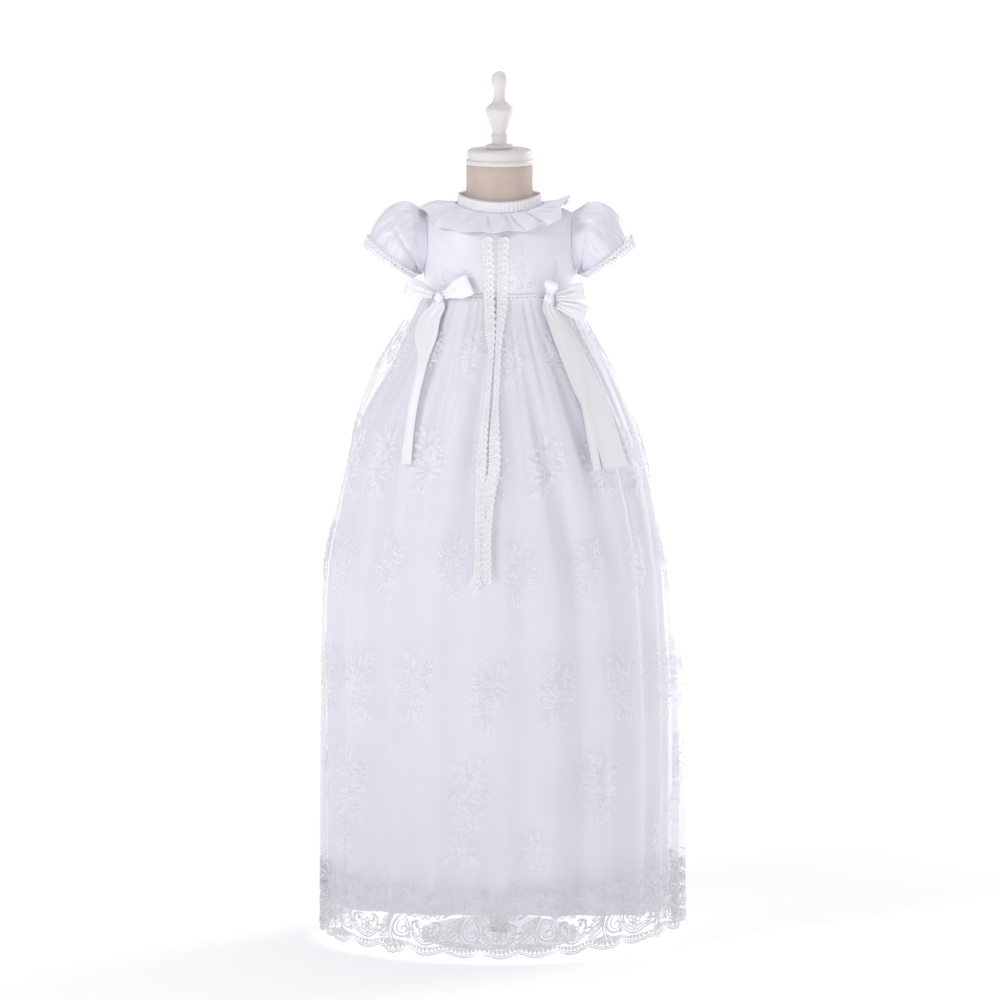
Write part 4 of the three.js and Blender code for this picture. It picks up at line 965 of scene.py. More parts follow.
net, net_shader = new_finish("cotton_net", 0.85, Alpha=0.19, Sheen_Weight=0.3,
                             Specular_IOR_Level=0.2)
net_place = clouded_colour(net, net_shader, (0.97, 0.965, 1.0), (0.94, 0.935, 0.975), 0.05)
net_mesh = add_node(net, "ShaderNodeTexVoronoi", [("Vector", net_place.outputs["Object"])],
                    Scale=900, feature="DISTANCE_TO_EDGE")
add_bump(net, net_shader, (net_mesh.outputs["Distance"], 0.4, 0.0003))
net_heights = np.concatenate([np.linspace(0.008, 0.040, 9)[:-1], np.linspace(0.040, WAIST, 92)])[:, None]
net_angles = np.linspace(0, 360, 600, endpoint=False)[None, :]
net_grid = scalloped_net(net_angles, net_heights)
overskirt = new_piece("overskirt_net", net_grid.reshape(-1, 3), ring_faces(*net_grid.shape[:2]),
                      net, 180)
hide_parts("overlay_front", "overlay_back", "border_front", "border_back")

# The embroidery: white cotton, machine stitched on the net. Sprays of leaves and small flowers
# stand in rows round the skirt, each row set between the places of the row above.
class Stitches:
    """Stitched shapes drawn flat, in millimetres across, up and off the net."""

    def __init__(self):
        self.points = []
        self.faces = []
        self.count = 0

    def add(self, points, rows, columns):
        self.points.append(np.asarray(points, float).reshape(-1, 3))
        self.faces += [tuple(i + self.count for i in face)
                       for face in ring_faces(rows, columns, 0, False)]
        self.count += rows * columns

    def cord(self, route, thick=0.9, high=0.35):
        route = np.asarray(route, float)
        ahead = np.gradient(route, axis=0)
        ahead /= np.maximum(np.linalg.norm(ahead, axis=1, keepdims=True), 1e-9)
        side = np.stack([ahead[:, 1], -ahead[:, 0]], 1) * thick / 2
        taper = np.minimum(1, 0.35 + 4 * np.minimum(np.linspace(0, 1, len(route)),
                                                    np.linspace(1, 0, len(route))))[:, None]
        edges = [(-1, 0), (-0.5, 0.85), (0.5, 0.85), (1, 0)]
        grid = np.stack([np.concatenate([route + side * across * taper,
                                         np.full((len(route), 1), high * up)], 1)
                         for across, up in edges], 1)
        self.add(grid, len(route), len(edges))

    def leaf(self, x, y, length, turn, width, high=0.35, bend=0.0, vein=True):
        high = min(high, 0.09 * width)
        small = length < 7
        s = np.linspace(0, 1, 5 if small else 6)[:, None]
        t = np.array([-1, 0, 1] if small else [-1, -0.62, 0, 0.62, 1])[None, :]
        crown = np.array([0, 1, 0] if small else [0, 1, 0.3 if vein else 1, 1, 0])[None, :]
        half = 0.5 * width * np.sin(math.pi * np.clip(s, 0.015, 0.985) ** 0.85) ** 0.75
        curve = bend * length * np.sin(math.pi * s)
        across, up = half * t + curve, s * length + 0 * t
        angle = math.radians(turn)
        grid = np.stack([x + across * math.cos(angle) + up * math.sin(angle),
                         y - across * math.sin(angle) + up * math.cos(angle),
                         high * crown + 0 * s], -1)
        self.add(grid, *grid.shape[:2])

    def flower(self, x, y, size, petals=5, turn=0, high=0.4):
        for k in range(petals):
            lean = turn + 360 * k / petals
            out = size * 0.13
            self.leaf(x + out * math.sin(math.radians(lean)), y + out * math.cos(math.radians(lean)),
                      size * 0.42, lean, size * 0.40, high)
        ring = np.radians(np.linspace(0, 360, 9))
        self.cord(np.stack([x + size * 0.12 * np.sin(ring), y + size * 0.12 * np.cos(ring)], 1),
                  size * 0.09, high * 1.3)

    def blade(self, x, y, length, turn, width, thick=1.1, bend=0.05):
        """A leaf drawn as a closed line with a vein."""
        s = np.sin(math.pi / 2 * np.linspace(0, 1, 8)) ** 2
        half = 0.5 * width * np.sin(math.pi * s**0.8)
        middle = bend * length * np.sin(math.pi * s)
        across = np.concatenate([middle + half, (middle - half)[::-1], [middle[0] + half[0]]])
        up = np.concatenate([s, s[::-1], [0]]) * length
        angle = math.radians(turn)
        self.cord(np.stack([x + across * math.cos(angle) + up * math.sin(angle),
                            y - across * math.sin(angle) + up * math.cos(angle)], 1), thick, 0.5)
        middle, vein = middle[::2], s[::2] * length * 0.8
        self.cord(np.stack([x + middle * math.cos(angle) + vein * math.sin(angle),
                            y - middle * math.sin(angle) + vein * math.cos(angle)], 1), thick * 0.6, 0.4)

    def bloom(self, x, y, size, petals=5, turn=0):
        """A flower whose petals are drawn as closed lines."""
        for k in range(petals):
            lean = turn + 360 * k / petals
            out = size * 0.12
            self.blade(x + out * math.sin(math.radians(lean)), y + out * math.cos(math.radians(lean)),
                       size * 0.42, lean, size * 0.36, size * 0.08, 0)
        ring = np.radians(np.linspace(0, 360, 9))
        self.cord(np.stack([x + size * 0.11 * np.sin(ring), y + size * 0.11 * np.cos(ring)], 1),
                  size * 0.11, 0.6)

    def scroll(self, x, y, size, turn, curl=1.0, opening=1.6, thick=0.9):
        """A C-scroll that starts at a place and winds up round its own end."""
        t = np.linspace(0, 1, 22)
        bearing = math.radians(turn) + curl * np.radians(120 * opening) * t**0.85
        step = size * (1 - 0.72 * t) / len(t) * 2.6
        route = np.stack([x + np.cumsum(step * np.sin(bearing)), y + np.cumsum(step * np.cos(bearing))], 1)
        self.cord(route, thick)

    def placed(self, x, y, size, lean, mirrored):
        """The points moved to their place on the net, by millimetres from its own middle."""
        points = np.concatenate(self.points)
        across, up = points[:, 0] * (-1 if mirrored else 1), points[:, 1]
        turn = math.radians(lean)
        return np.stack([x + size * (across * math.cos(turn) + up * math.sin(turn)),
                         y + size * (up * math.cos(turn) - across * math.sin(turn)),
                         points[:, 2]], 1)


def stitched(name, surface, placements, finish, degree_width=None):
    """Sews copies of stitched shapes on a cloth. A placement gives the shape, the angle and
    height of its middle, its size, its lean in degrees, and whether it is mirrored. Thread as
    fine as this casts no shadow that the eye can see."""
    all_points, all_faces, count = [], [], 0
    for shape, angle, height, size, lean, mirrored in placements:
        local = shape.placed(0, 0, size, lean, mirrored) / 1000
        per_degree = degree_width or np.linalg.norm(
            surface(np.array(angle + 1.0), np.array(height))
            - surface(np.array(angle - 1.0), np.array(height))) / 2
        angles = angle + local[:, 0] / per_degree
        heights = height + local[:, 1]
        points = surface(angles, heights)
        points += normal_of(surface, angles, heights, 0.1) * (local[:, 2] + 0.0002)[:, None]
        faces = shape.faces if not mirrored else [tuple(reversed(face)) for face in shape.faces]
        all_points.append(points)
        all_faces += [tuple(i + count for i in face) for face in faces]
        count += len(points)
    piece = new_piece(name, np.concatenate(all_points), all_faces, finish, 75)
    piece.visible_shadow = False
    return piece


def spray():
    """A leaning spray: leaves above, an open flower, leaf pairs to both sides, bud flowers and
    hanging leaves below, and thin tendrils with buds."""
    stitches = Stitches()
    stitches.flower(0, 0, 19, petals=6)
    stitches.flower(0, 0, 9, petals=6, turn=30)
    stitches.cord([(-1.5, -8), (-2.6, -12), (-3.2, -18), (-2.6, -25), (-4, -30)], 1.1)
    for leaf in ((-8, 15, 16, -14, 5.4), (-3, 11.5, 15, 4, 5.8), (2, 9.5, 14, 40, 5.0),
                 (1.5, 7.5, 13, 72, 5.2), (-6, 6.5, 13, -78, 5.0), (-6, 9.5, 11, -46, 4.2),
                 (8.5, 1, 9, 96, 4.0), (-9, 0, 9, -104, 4.0), (6, -6, 10, 120, 4.2),
                 (0.5, -12.5, 16, 60, 6.2), (3.2, -15.5, 17, 84, 6.0), (1, -20, 13, 106, 5.0),
                 (-4.2, -13, 13, -50, 5.0), (-4.5, -18, 14, -74, 5.2), (-4, -22, 11, -104, 4.4),
                 (-2, -25.5, 11, 124, 4.4), (-3.5, -28.5, 13, 148, 4.8), (-4.5, -29, 10, 220, 4.2),
                 (-7, -34, 13, 200, 4.8), (-3, -36, 11, 172, 4.6), (-11, -36, 11, 222, 3.8),
                 (-10, 24, 9, -44, 3.2), (2, 22, 9, 24, 3.2), (12, 14, 8, 30, 3.0)):
        stitches.leaf(*leaf)
    stitches.flower(4.6, -22.8, 10, turn=20)
    stitches.flower(-13, -9, 9, turn=5)
    stitches.flower(14, 8, 8, turn=25)
    for route in ([(8.6, 2), (12, 4.5), (15, 8), (17, 13), (16, 18)],
                  [(-6, -8), (-11, -8.5), (-16, -11), (-19, -17), (-17, -23)],
                  [(-8, 6), (-13, 9), (-17, 14), (-18, 19)], [(4, -26), (9, -30), (10, -36), (7, -40)]):
        stitches.cord(route, 0.8, 0.25)
    for x, y, size in ((-22, -6, 6), (-21, 4, 5), (-18, 21, 5.5), (16, 20, 5), (19, -6, 5), (7, -42, 5)):
        stitches.flower(x, y, size, turn=12)
    return stitches


def tall_spray():
    """The larger spray of the lowest row, with scrolls at its foot."""
    stitches = spray()
    for side in (-1, 1):
        stitches.scroll(side * 3, -42, 7, side * 40, side, 1.6, 1.1)
        stitches.scroll(side * 2, -40, 5.5, side * 120, -side, 1.5, 1.0)
    stitches.leaf(-2, 24, 12, 14, 5)
    stitches.cord([(9, -20), (14, -24), (18, -30), (17, -36), (13, -37)], 0.9)
    stitches.flower(15, -33, 7, turn=10)
    stitches.flower(-14, -26, 7, turn=30)
    return stitches


spray_thread = thread_finish("spray_thread", (0.95, 0.94, 0.975), (0.90, 0.89, 0.93), 700, 0.62)
sheer_thread = thread_finish("sheer_thread", (0.93, 0.92, 0.955), (0.88, 0.87, 0.91), 700, 0.42)
sprays, tall = spray(), tall_spray()
SPRAY_PITCH = 24
SPRAY_ROWS = ((1, 0.693, -40, 0.74), (2, 0.574, -52, 1.06), (3, 0.456, -40, 0.96), (4, 0.319, -52, 1.1))
for number, height, start, size in SPRAY_ROWS:
    placements = [(sprays, start + SPRAY_PITCH * k, height + 0.004 * math.sin(2.1 * k), size,
                   4 + 5 * math.sin(1.7 * k + number), (k + number) % 2 == 0)
                  for k in range(360 // SPRAY_PITCH)]
    stitched(f"embroidered_sprays_{number}", net_point, placements,
             spray_thread if number < 3 else sheer_thread)
placements = [(tall, -10 + 45 * k, 0.205, 1.12, 3 * math.sin(k), k % 2 == 0) for k in range(8)]
stitched("embroidered_tall_sprays", net_point, placements, sheer_thread)

# The lace border: heavier stitching in white cotton, given a grey colour as painted shade, in a
# repeat of one bowl scallop and one plume scallop, with a corded, picot edge.
REPEAT_DEGREES = 24
REPEAT_WIDTH = 83


def border_repeat():
    stitches = Stitches()
    fine = np.arange(0, REPEAT_WIDTH + 0.1, 0.65) - REPEAT_WIDTH / 2
    wave = np.abs(np.sin(fine * math.pi / 5.1875))
    for low, thick in ((1.3, 1.7), (4.0, 1.3), (9.6, 1.2)):
        stitches.cord(np.stack([fine, low - 1.7 * wave], 1), thick, 0.6)
    for k in range(18):
        stitches.leaf(-REPEAT_WIDTH / 2 + 2.3 + 4.61 * k, 4.6, 4.0, 0, 3.6, 0.5, vein=False)
    bowl = -REPEAT_WIDTH / 4
    for low, rise, reach, thick in ((12.0, 0.028, 20.5, 2.0), (15.2, 0.032, 17.5, 1.4)):
        x = np.linspace(-reach, reach, 21)
        stitches.cord(np.stack([bowl + x, low + rise * x**2], 1), thick, 0.6)
    stitches.bloom(bowl, 25.5, 17, petals=6)
    for side in (-1, 1):
        stitches.scroll(bowl + side * 4.5, 35, 15, side * 35, side, 1.9, 2.8)
        stitches.scroll(bowl + side * 16.5, 24, 9, side * 10, side, 1.7, 2.2)
        stitches.scroll(bowl + side * 20, 34, 9, side * -20, -side, 1.7, 2.0)
        stitches.bloom(bowl + side * 13, 50, 15, turn=20 * side)
        stitches.flower(bowl + side * 10.5, 33, 6, turn=20 * side)
        stitches.blade(bowl + side * 9, 21, 9, side * 70, 4.0)
        stitches.blade(bowl + side * 2, 41, 10, side * 8, 4.4)
        stitches.leaf(bowl + side * 20, 44, 8, side * 60, 3.4)
        stitches.scroll(bowl + side * 9, 84, 13, side * 60, side, 1.9, 1.8)
        stitches.scroll(bowl + side * 28, 78, 11, side * -30, -side, 1.7, 1.6)
        stitches.cord([(bowl + side * 2, 62), (bowl + side * 10, 68), (bowl + side * 20, 68),
                       (bowl + side * 30, 72), (bowl + side * 37, 80)], 1.3)
        for k in range(5):
            stitches.leaf(bowl + side * (8 + 6 * k), 67 + 1.5 * k, 9, side * (28 + 12 * k), 3.0)
            stitches.leaf(bowl + side * (10 + 6 * k), 66 + 1.5 * k, 8, side * (120 + 8 * k), 2.6)
    stitches.bloom(bowl, 64, 13, turn=36)
    plume = REPEAT_WIDTH / 4
    for x, y, length, turn in ((-17, 35, 23, 62), (-21, 27, 28, 57), (-23, 19.5, 31, 51),
                               (-21, 12.5, 31, 43)):
        stitches.blade(plume + x, y, length, turn, 5.4, 1.5, 0.06)
    for shift, thick in ((0, 2.0), (3.2, 1.3)):
        stitches.cord([(plume - 1 + shift, 10), (plume - 0.5 + shift, 14), (plume - 2 + shift, 20),
                       (plume - 4.5 + shift, 28), (plume - 4.5 + shift, 35), (plume - 2 + shift, 42),
                       (plume + 3 + shift, 49)], thick, 0.6)
    for side in (-1, 1):
        for k in range(4):
            stitches.blade(plume + side * (1.5 + 2 * k), 17 - 1.5 * k, 9.5 + k, side * (165 - 20 * k),
                           3.6, 1.0)
    loop = np.radians(np.linspace(0, 360, 25))
    for reach, rise, thick in ((9, 13, 2.2), (5.4, 8.6, 1.3)):
        stitches.cord(np.stack([plume + 11 + reach * np.sin(loop) * (1 - 0.3 * np.cos(loop)),
                                31 + rise * np.cos(loop)], 1), thick, 0.6)
    stitches.scroll(plume + 10.5, 25, 8, -30, 1, 1.9, 1.8)
    stitches.flower(plume + 19, 18, 7, turn=10)
    stitches.bloom(plume + 3, 57, 12, turn=10)
    for x, y, length, turn in ((-14, 47, 11, 20), (-9, 49, 11, -5), (12, 52, 10, 60), (15, 46, 9, 95),
                               (-6, 61, 10, -40), (10, 63, 10, 30), (2, 65, 11, 2)):
        stitches.blade(plume + x, y, length, turn, 4.2)
    return stitches


# Painted shade: the border cotton is white, and its grey colour stands in for the shade it lies in.
border_thread_painted_shade = thread_finish("border_thread_painted_shade", (0.82, 0.81, 0.84), (0.76, 0.75, 0.78), 700)
repeat = border_repeat()
placements = [(repeat, 6 + REPEAT_DEGREES * k, NET_STAND["height"][0], 1, 0, False)
              for k in range(360 // REPEAT_DEGREES)]
stitched("lace_border", scalloped_net, placements, border_thread_painted_shade, REPEAT_WIDTH / 1000 / REPEAT_DEGREES)


def border_spray():
    """A small pyramid of leaves and buds that rises from the border."""
    stitches = Stitches()
    stitches.flower(0, 0, 12)
    for leaf in ((-2, 7, 12, -8, 4), (3, 6, 10, 35, 4), (-5, 5, 10, -48, 4), (6, -2, 12, 75, 4.4),
                 (-6, -3, 12, -80, 4.4), (4, -8, 13, 118, 4.6), (-5, -8, 13, -122, 4.6),
                 (0, -8, 12, 178, 4)):
        stitches.leaf(*leaf)
    for side in (-1, 1):
        stitches.flower(side * 15, -14, 7, turn=20 * side)
        stitches.scroll(side * 4, -20, 6.5, side * 70, side, 1.7, 1.0)
    return stitches


low_spray = border_spray()
placements = [(low_spray, 12 + 48 * k, 0.134, 1.1, 0, k % 2 == 0) for k in range(8)]
stitched("border_sprays", net_point, placements, sheer_thread)

# Small sprigs of the same stitching lie on the satin of the bodice, low on both sides of the
# braids and at its back.
BODICE_HEIGHTS = TORSO["front_up"]


def bodice_by_height(angle, height):
    return torso_point(angle, np.interp(height, BODICE_HEIGHTS, TORSO["level"]))


def sprig():
    stitches = Stitches()
    stitches.cord([(0, -12), (0.6, -4), (0, 6), (-0.6, 14)], 0.8)
    for k in range(5):
        for side in (-1, 1):
            stitches.leaf(0, -9 + 5 * k, 8.5 - k, side * 34, 2.8)
    stitches.leaf(-0.6, 13, 7, 2, 2.8)
    stitches.flower(0.5, -14, 8, turn=15)
    stitches.flower(-8, -12, 5.5, turn=30)
    stitches.flower(8.5, -13, 5.5, turn=5)
    return stitches


bodice_sprig = sprig()
placements = [(bodice_sprig, angle, height, size, lean, angle < 0) for angle, height, size, lean in (
    (16, 0.783, 1.4, 2), (-47, 0.774, 0.95, -6), (46, 0.775, 0.9, 5), (-26, 0.768, 0.7, -4),
    (150, 0.778, 0.9, 3), (-150, 0.778, 0.9, -3), (122, 0.772, 0.75, 4), (-122, 0.772, 0.75, -4))]
stitched("bodice_sprigs", bodice_by_height, placements, spray_thread)

# The two front braids: padded crescents and slanted stitches worked on a narrow tape, each
# sewn down the bodice and left to hang free over the net.
braid_thread = thread_finish("braid_thread", (0.97, 0.96, 0.985), (0.93, 0.92, 0.95), 900)
BRAID_LEAF = 0.0070
BRAID_STAND = 0.0010
BRAID_EDGE_STAND = 0.0007
TAPE_SET_BACK = 0.0009
BRAID_LEFT = rows_of(
    "height middle half out",
    (0.429, -0.0320, 0.0063, 0.0006), (0.452, -0.0235, 0.0064, 0.0006),
    (0.506, -0.0225, 0.0064, 0.0006), (0.588, -0.0200, 0.0058, 0.0006),
    (0.641, -0.0144, 0.0030, 0.0006), (0.698, -0.0100, 0.0034, 0.0006),
    (0.714, -0.0112, 0.0060, 0.0006), (0.748, -0.0118, 0.0064, 0.0006),
    (0.824, -0.0144, 0.0068, 0.0006),
)
BRAID_RIGHT = rows_of(
    "height middle half out",
    (0.438, -0.0144, 0.0046, 0.0038), (0.495, -0.0142, 0.0046, 0.0038),
    (0.515, -0.0120, 0.0034, 0.0038), (0.543, -0.0110, 0.0066, 0.0038),
    (0.566, -0.0065, 0.0068, 0.0030), (0.596, -0.0060, 0.0066, 0.0020),
    (0.641, -0.0048, 0.0032, 0.0009), (0.675, -0.0027, 0.0032, 0.0009),
    (0.708, -0.0012, 0.0036, 0.0009), (0.748, 0.0026, 0.0064, 0.0009),
    (0.824, 0.0040, 0.0068, 0.0009),
)
WAIST_STAND = 0.0016
SKIRT_TOP = WAIST - 0.006


def level_at_front(height):
    low, high = 0.0, float(NECK_LEVEL)
    for _ in range(30):
        middle = (low + high) / 2
        if read_column(TORSO, "level", middle, "front_up") < height:
            low = middle
        else:
            high = middle
    return low


def front_point(x, height, out):
    """A point in front of the skirt or bodice at a sideways place and height."""
    on_skirt = height < SKIRT_TOP
    level = 0 if on_skirt else level_at_front(height)
    settled = float(smooth_step(height, SKIRT_TOP, WAIST + 0.012))
    aim = x * 0.9
    for _ in range(5):
        if on_skirt:
            half = float(read_column(LINING, "height", height, "right" if aim > 0 else "left"))
            angle = math.degrees(math.asin(aim / half))
            point = from_axis(net_envelope(angle, height, GATHER_DEPTH), out)
        else:
            angle = math.degrees(math.asin(aim / float(read_column(TORSO, "level", level, "side"))))
            point = from_axis(torso_point(angle, level),
                              out + lerp(GATHER_DEPTH + WAIST_STAND, 0, settled))
        aim += x - point[0]
    return point


def front_out(x, height):
    reach = front_point(x, height, 0.001) - front_point(x, height, 0)
    return reach / np.linalg.norm(reach)


# Each repeat has a fat padded crescent on its right, two thin slanted stitches on its left, and
# a narrow tape under both.
CRESCENT = rows_of(
    "at across down radius",
    (0, 0.05, 0.00, 0.0005), (0.15, 0.42, 0.02, 0.0009), (0.3, 0.74, 0.12, 0.00125),
    (0.45, 0.93, 0.30, 0.0014), (0.6, 0.96, 0.53, 0.00135), (0.75, 0.76, 0.76, 0.0012),
    (0.9, 0.42, 0.92, 0.0009), (1, 0.12, 1.02, 0.0005),
)
SLANT_STITCHES = ((0.0, 0.55), (0.48, 1.02))
for name, route in (("left", BRAID_LEFT), ("right", BRAID_RIGHT)):
    braid = Motif()
    low, high = route["height"][0], route["height"][-1]
    leaves = round((high - low) / BRAID_LEAF)
    spine_line, tape = [], []
    for k in range(leaves):
        height = lerp(low, high, (k + 0.5) / leaves)
        read = {key: float(read_column(route, "height", height, key)) for key in ("middle", "half", "out")}
        fall = min(BRAID_LEAF * 1.2, height - low + 0.001)
        outward = front_out(read["middle"], height)
        root = front_point(read["middle"], height, read["out"] + BRAID_STAND)
        across = front_point(read["middle"] + read["half"], height, read["out"] + BRAID_EDGE_STAND) - root
        down = front_point(read["middle"], height - fall, read["out"] + BRAID_STAND) - root
        hook = (root + across * CRESCENT["across"][:, None] + down * CRESCENT["down"][:, None]
                + outward * CRESCENT["radius"][:, None] * 0.6)
        thread_tube(braid, hook, outward, CRESCENT["radius"], 8)
        for start, end in SLANT_STITCHES:
            share = np.linspace(0, 1, 6)
            stitch = (root - across * (0.95 * share)[:, None] + down * lerp(start, end, share)[:, None]
                      + outward * (0.0006 * np.sin(math.pi * share))[:, None])
            thread_tube(braid, stitch, outward, 0.0003 + 0.0006 * np.sin(math.pi * (0.15 + 0.7 * share)), 6)
        spine_line.append(root + outward * 0.0006)
        tape.append([root + across * share - outward * TAPE_SET_BACK for share in (-0.85, -0.4, 0, 0.4, 0.8)])
    thread_tube(braid, np.array(spine_line), front_out(0, 0.6), 0.0008, 6)
    front_braid = braid.piece(f"front_braid_{name}_leaves", braid_thread, "braid")
    front_braid.visible_shadow = False
    backing = new_piece(f"front_braid_{name}_tape", np.array(tape).reshape(-1, 3),
                        ring_faces(leaves, 5, 0, False), braid_thread)
    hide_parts(f"front_braid_{name}")
    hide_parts(f"front_braid_{name}")

# A narrow braid of small crescents lies along the waist seam, from the front braids to the bows.
WAIST_BRAID = ((-38, -12), (4, 30))
WAIST_STITCH = 3.6
WAIST_BRAID_LEVEL = 0.06
WAIST_BRAID_STAND = 0.0022
WAIST_BRAID_HALF = 0.0022
waist_braid = Motif()
for start, end in WAIST_BRAID:
    for k in range(int((end - start) / WAIST_STITCH)):
        share = np.linspace(0, 1, 8)
        angles = start + WAIST_STITCH * (k + 1.15 * share)
        for side in (-1, 1):
            stand = WAIST_BRAID_STAND + 0.0006 * np.sin(math.pi * share)
            hook = from_axis(torso_point(angles, WAIST_BRAID_LEVEL + 0 * angles), stand)
            hook[:, 2] += side * WAIST_BRAID_HALF * np.sin(math.pi * share) ** 0.7
            outward = torso_point(float(angles[0]), 0.0) * np.array([1, 1, 0])
            thread_tube(waist_braid, hook, outward / np.linalg.norm(outward),
                        0.0004 + 0.0006 * np.sin(math.pi * share), 6)
waist_braid_piece = waist_braid.piece("waist_braid_leaves", braid_thread, "braid")
waist_braid_piece.visible_shadow = False

# The waist bows: satin ribbon tied in soft loops with hanging tails, caught down by their knots
# over the waist seam.
RIBBON = 0.001
TAIL_LIFT = 0.00065
TAIL_LEFT = rows_of(
    "height left right",
    (0.566, -0.1120, -0.1005), (0.602, -0.1080, -0.0975), (0.640, -0.1020, -0.0915),
    (0.682, -0.0930, -0.0810), (0.706, -0.0970, -0.0720), (0.728, -0.0900, -0.0670),
    (0.739, -0.0790, -0.0620), (0.7475, -0.0728, -0.0650),
)
TAIL_RIGHT_FRONT = rows_of(
    "height left right",
    (0.559, 0.1075, 0.1156), (0.598, 0.0995, 0.1087), (0.632, 0.0926, 0.0995),
    (0.650, 0.0840, 0.0990), (0.680, 0.0720, 0.0926), (0.705, 0.0620, 0.0820),
    (0.725, 0.0550, 0.0720), (0.739, 0.0495, 0.0625), (0.7475, 0.0530, 0.0604),
)
TAIL_RIGHT_SIDE = rows_of(
    "height left right",
    (0.559, 0.1190, 0.1470), (0.597, 0.1080, 0.1350), (0.632, 0.0980, 0.1240),
    (0.658, 0.0900, 0.1120), (0.680, 0.0810, 0.1010), (0.705, 0.0710, 0.0880),
    (0.720, 0.0620, 0.0780), (0.740, 0.0545, 0.0635),
)
ribbon_satin = satin_finish("ribbon_satin", 0.26, (0.955, 0.95, 0.985), (0.93, 0.925, 0.97), 0.1, 0.08)


def ribbon_tail(name, edges, out, creases):
    heights = np.linspace(edges["height"][0], edges["height"][-1], 56)
    across = np.linspace(0, 1, 13)
    grid = np.zeros((len(heights), len(across), 3))
    for j, height in enumerate(heights):
        left = float(read_column(edges, "height", height, "left"))
        right = float(read_column(edges, "height", height, "right"))
        for i, share in enumerate(across):
            ripple = sum(deep * math.exp(-(((share - place) / wide) ** 2))
                         for place, wide, deep in creases)
            near_knot = float(smooth_step(height, 0.715, 0.738))
            ripple += 0.0007 * near_knot * math.cos(share * 15)
            grid[j, i] = front_point(lerp(left, right, share), height, out + RIBBON + ripple)
    return cloth_wall(name, grid, RIBBON * 0.6, ribbon_satin)


tail_left = ribbon_tail("bow_left_tail_ribbon", TAIL_LEFT, TAIL_LIFT,
                        ((0.3, 0.16, 0.0008), (0.85, 0.1, 0.0006)))
tail_right_front = ribbon_tail("bow_right_tail_front_ribbon", TAIL_RIGHT_FRONT,
                               TAIL_LIFT + RIBBON + 0.0006, ((0.05, 0.12, 0.0008), (0.6, 0.2, 0.0005)))
tail_right_side = ribbon_tail("bow_right_tail_side_ribbon", TAIL_RIGHT_SIDE, TAIL_LIFT,
                              ((0.95, 0.1, 0.0010), (0.45, 0.16, 0.0006)))
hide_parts("bow_left_tail")
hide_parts("bow_right_tail_front")
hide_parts("bow_right_tail_side")

KNOT = {"across": 0.0075, "deep": 0.005, "tall": 0.007}
KNOT_WAIST = 0.78
LEFT_KNOT = {"angle": -46, "out": 0.00295}
RIGHT_KNOT = {"angle": 36.5, "out": 0.0021}
LOOP_ROOT_WIDTH = 0.009
LOOP_ROOT_APART = 0.0016
LOOPS = {
    "left_loop_out": (LEFT_KNOT, (-37, -2, 13), (0.7, 0, 0.7), 6, 21, 0, 0, 69),
    "left_loop_in": (LEFT_KNOT, (35, 21, 17), (-0.35, 0, 0.95), 4, 24, 0, 0, 77),
    "right_loop_up": (RIGHT_KNOT, (3, 17, 19), (0.85, 0, -0.5), 4, 15, 0, 0, 40),
    "right_loop_side": (RIGHT_KNOT, (39, -9, 7), (-0.05, 0, 1), 4, 19, 0, 0, 69),
    "right_loop_low": (RIGHT_KNOT, (40, -19, -15), (0.1, 0, 1), 3, 19, 5, 2.2, 80),
}


def knot_centre(seat):
    return from_axis(torso_point(float(seat["angle"]), 0.0), KNOT["deep"] + seat["out"] + GATHER_DEPTH)


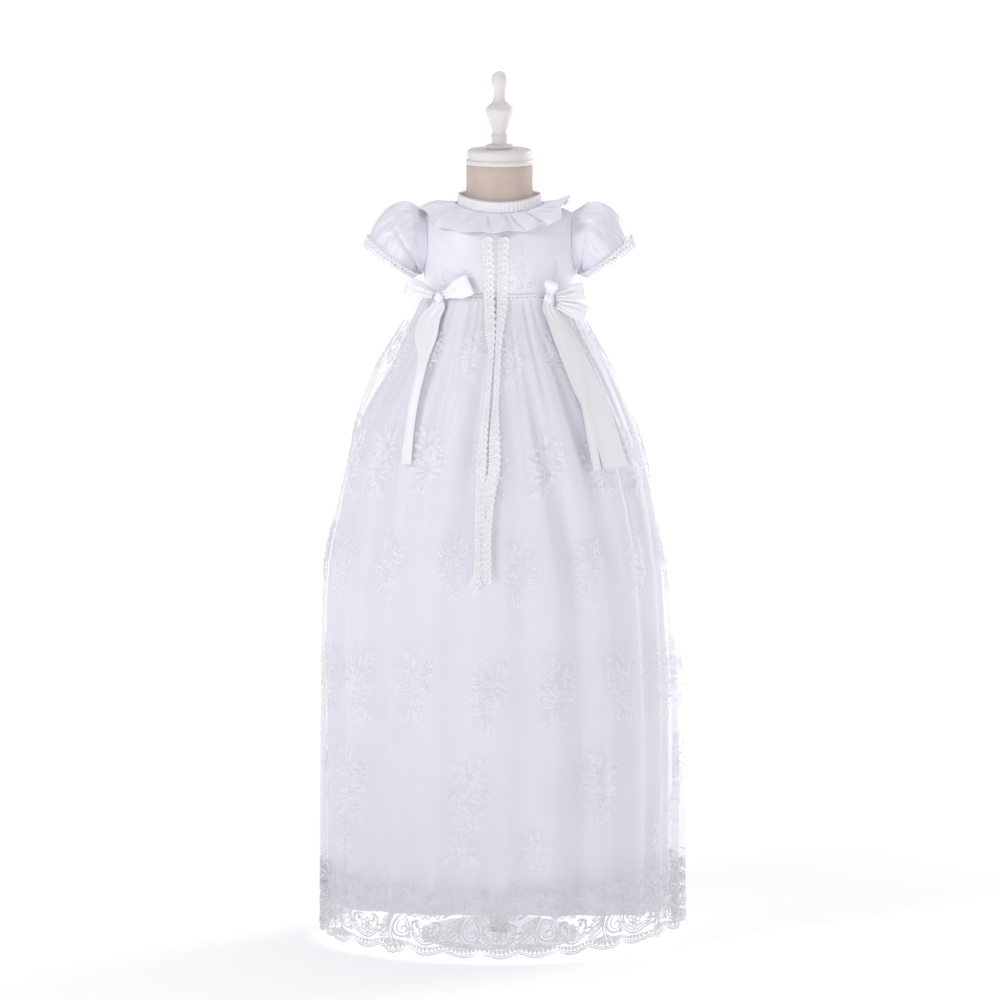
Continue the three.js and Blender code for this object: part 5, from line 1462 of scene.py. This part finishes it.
def bow_loop(seat, tip, span, bulge, width, drop, forward):
    reach = np.array([tip[0], -tip[1], tip[2]]) / 1000
    direction = reach / np.linalg.norm(reach)
    start = knot_centre(seat) + direction * (KNOT["across"] + 2 * SEAM)
    start = from_axis(start, forward / 1000)
    start[2] -= drop / 1000
    reach = reach - direction * KNOT["across"]
    wide = np.array([span[0], -span[1], span[2]], float)
    wide -= direction * wide.dot(direction)
    wide /= np.linalg.norm(wide)
    thick_way = np.cross(direction, wide)
    u = np.linspace(-0.5, 0.5, 17)[None, :]
    v = np.linspace(0, 1, 61)[:, None]
    out = (1 - np.cos(2 * math.pi * v)) / 2
    swell = (bulge / 1000 * np.sin(2 * math.pi * v) * (0.4 + 0.6 * out)
             + LOOP_ROOT_APART * (1 - 2 * v))
    crease = 0.0011 * np.cos(u * 5 * math.pi) * (1 - smooth_step(out, 0.15, 0.95))
    crease = crease - 0.0022 * (2 * u) ** 2 * np.sin(math.pi * out) * np.sign(0.5 - v)
    across = u * lerp(LOOP_ROOT_WIDTH, width / 1000, smooth_step(out, 0, 0.7))
    return (start + reach * out[..., None] + thick_way * (swell + crease)[..., None]
            + wide * across[..., None])


for name, loop in LOOPS.items():
    piece = cloth_wall(f"bow_{name}_ribbon", bow_loop(*loop[:7]), RIBBON * 0.6, ribbon_satin)
    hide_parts(f"bow_{name}")
for name, seat in (("left", LEFT_KNOT), ("right", RIGHT_KNOT)):
    centre = knot_centre(seat)
    around = np.linspace(0, 2 * math.pi, 40, endpoint=False)[None, :]
    up = np.linspace(-0.47 * math.pi, 0.47 * math.pi, 25)[:, None]
    wrap = KNOT_WAIST + 0.06 * np.cos(around * 7 + up * 1.5) * np.cos(up) + 0.04 * np.cos(up * 3)
    turn = math.radians(seat["angle"])
    belly = np.cos(up) ** 0.45 * wrap
    across = KNOT["across"] * belly * np.sin(around)
    deep = -KNOT["deep"] * belly * np.cos(around)
    tall = 0.82 * KNOT["tall"] * np.sin(up) * (1 + 0.06 * np.cos(around * 2)) + 0 * around
    grid = np.stack([centre[0] + across * math.cos(turn) - deep * math.sin(turn),
                     centre[1] + across * math.sin(turn) + deep * math.cos(turn),
                     centre[2] + tall], -1)
    faces = ring_faces(25, 40)
    faces.append(tuple(reversed(range(40))))
    faces.append(tuple(range(24 * 40, 25 * 40)))
    knot = new_piece(f"bow_{name}_knot_ribbon", grid.reshape(-1, 3), faces, ribbon_satin)
    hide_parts(f"bow_{name}_knot")
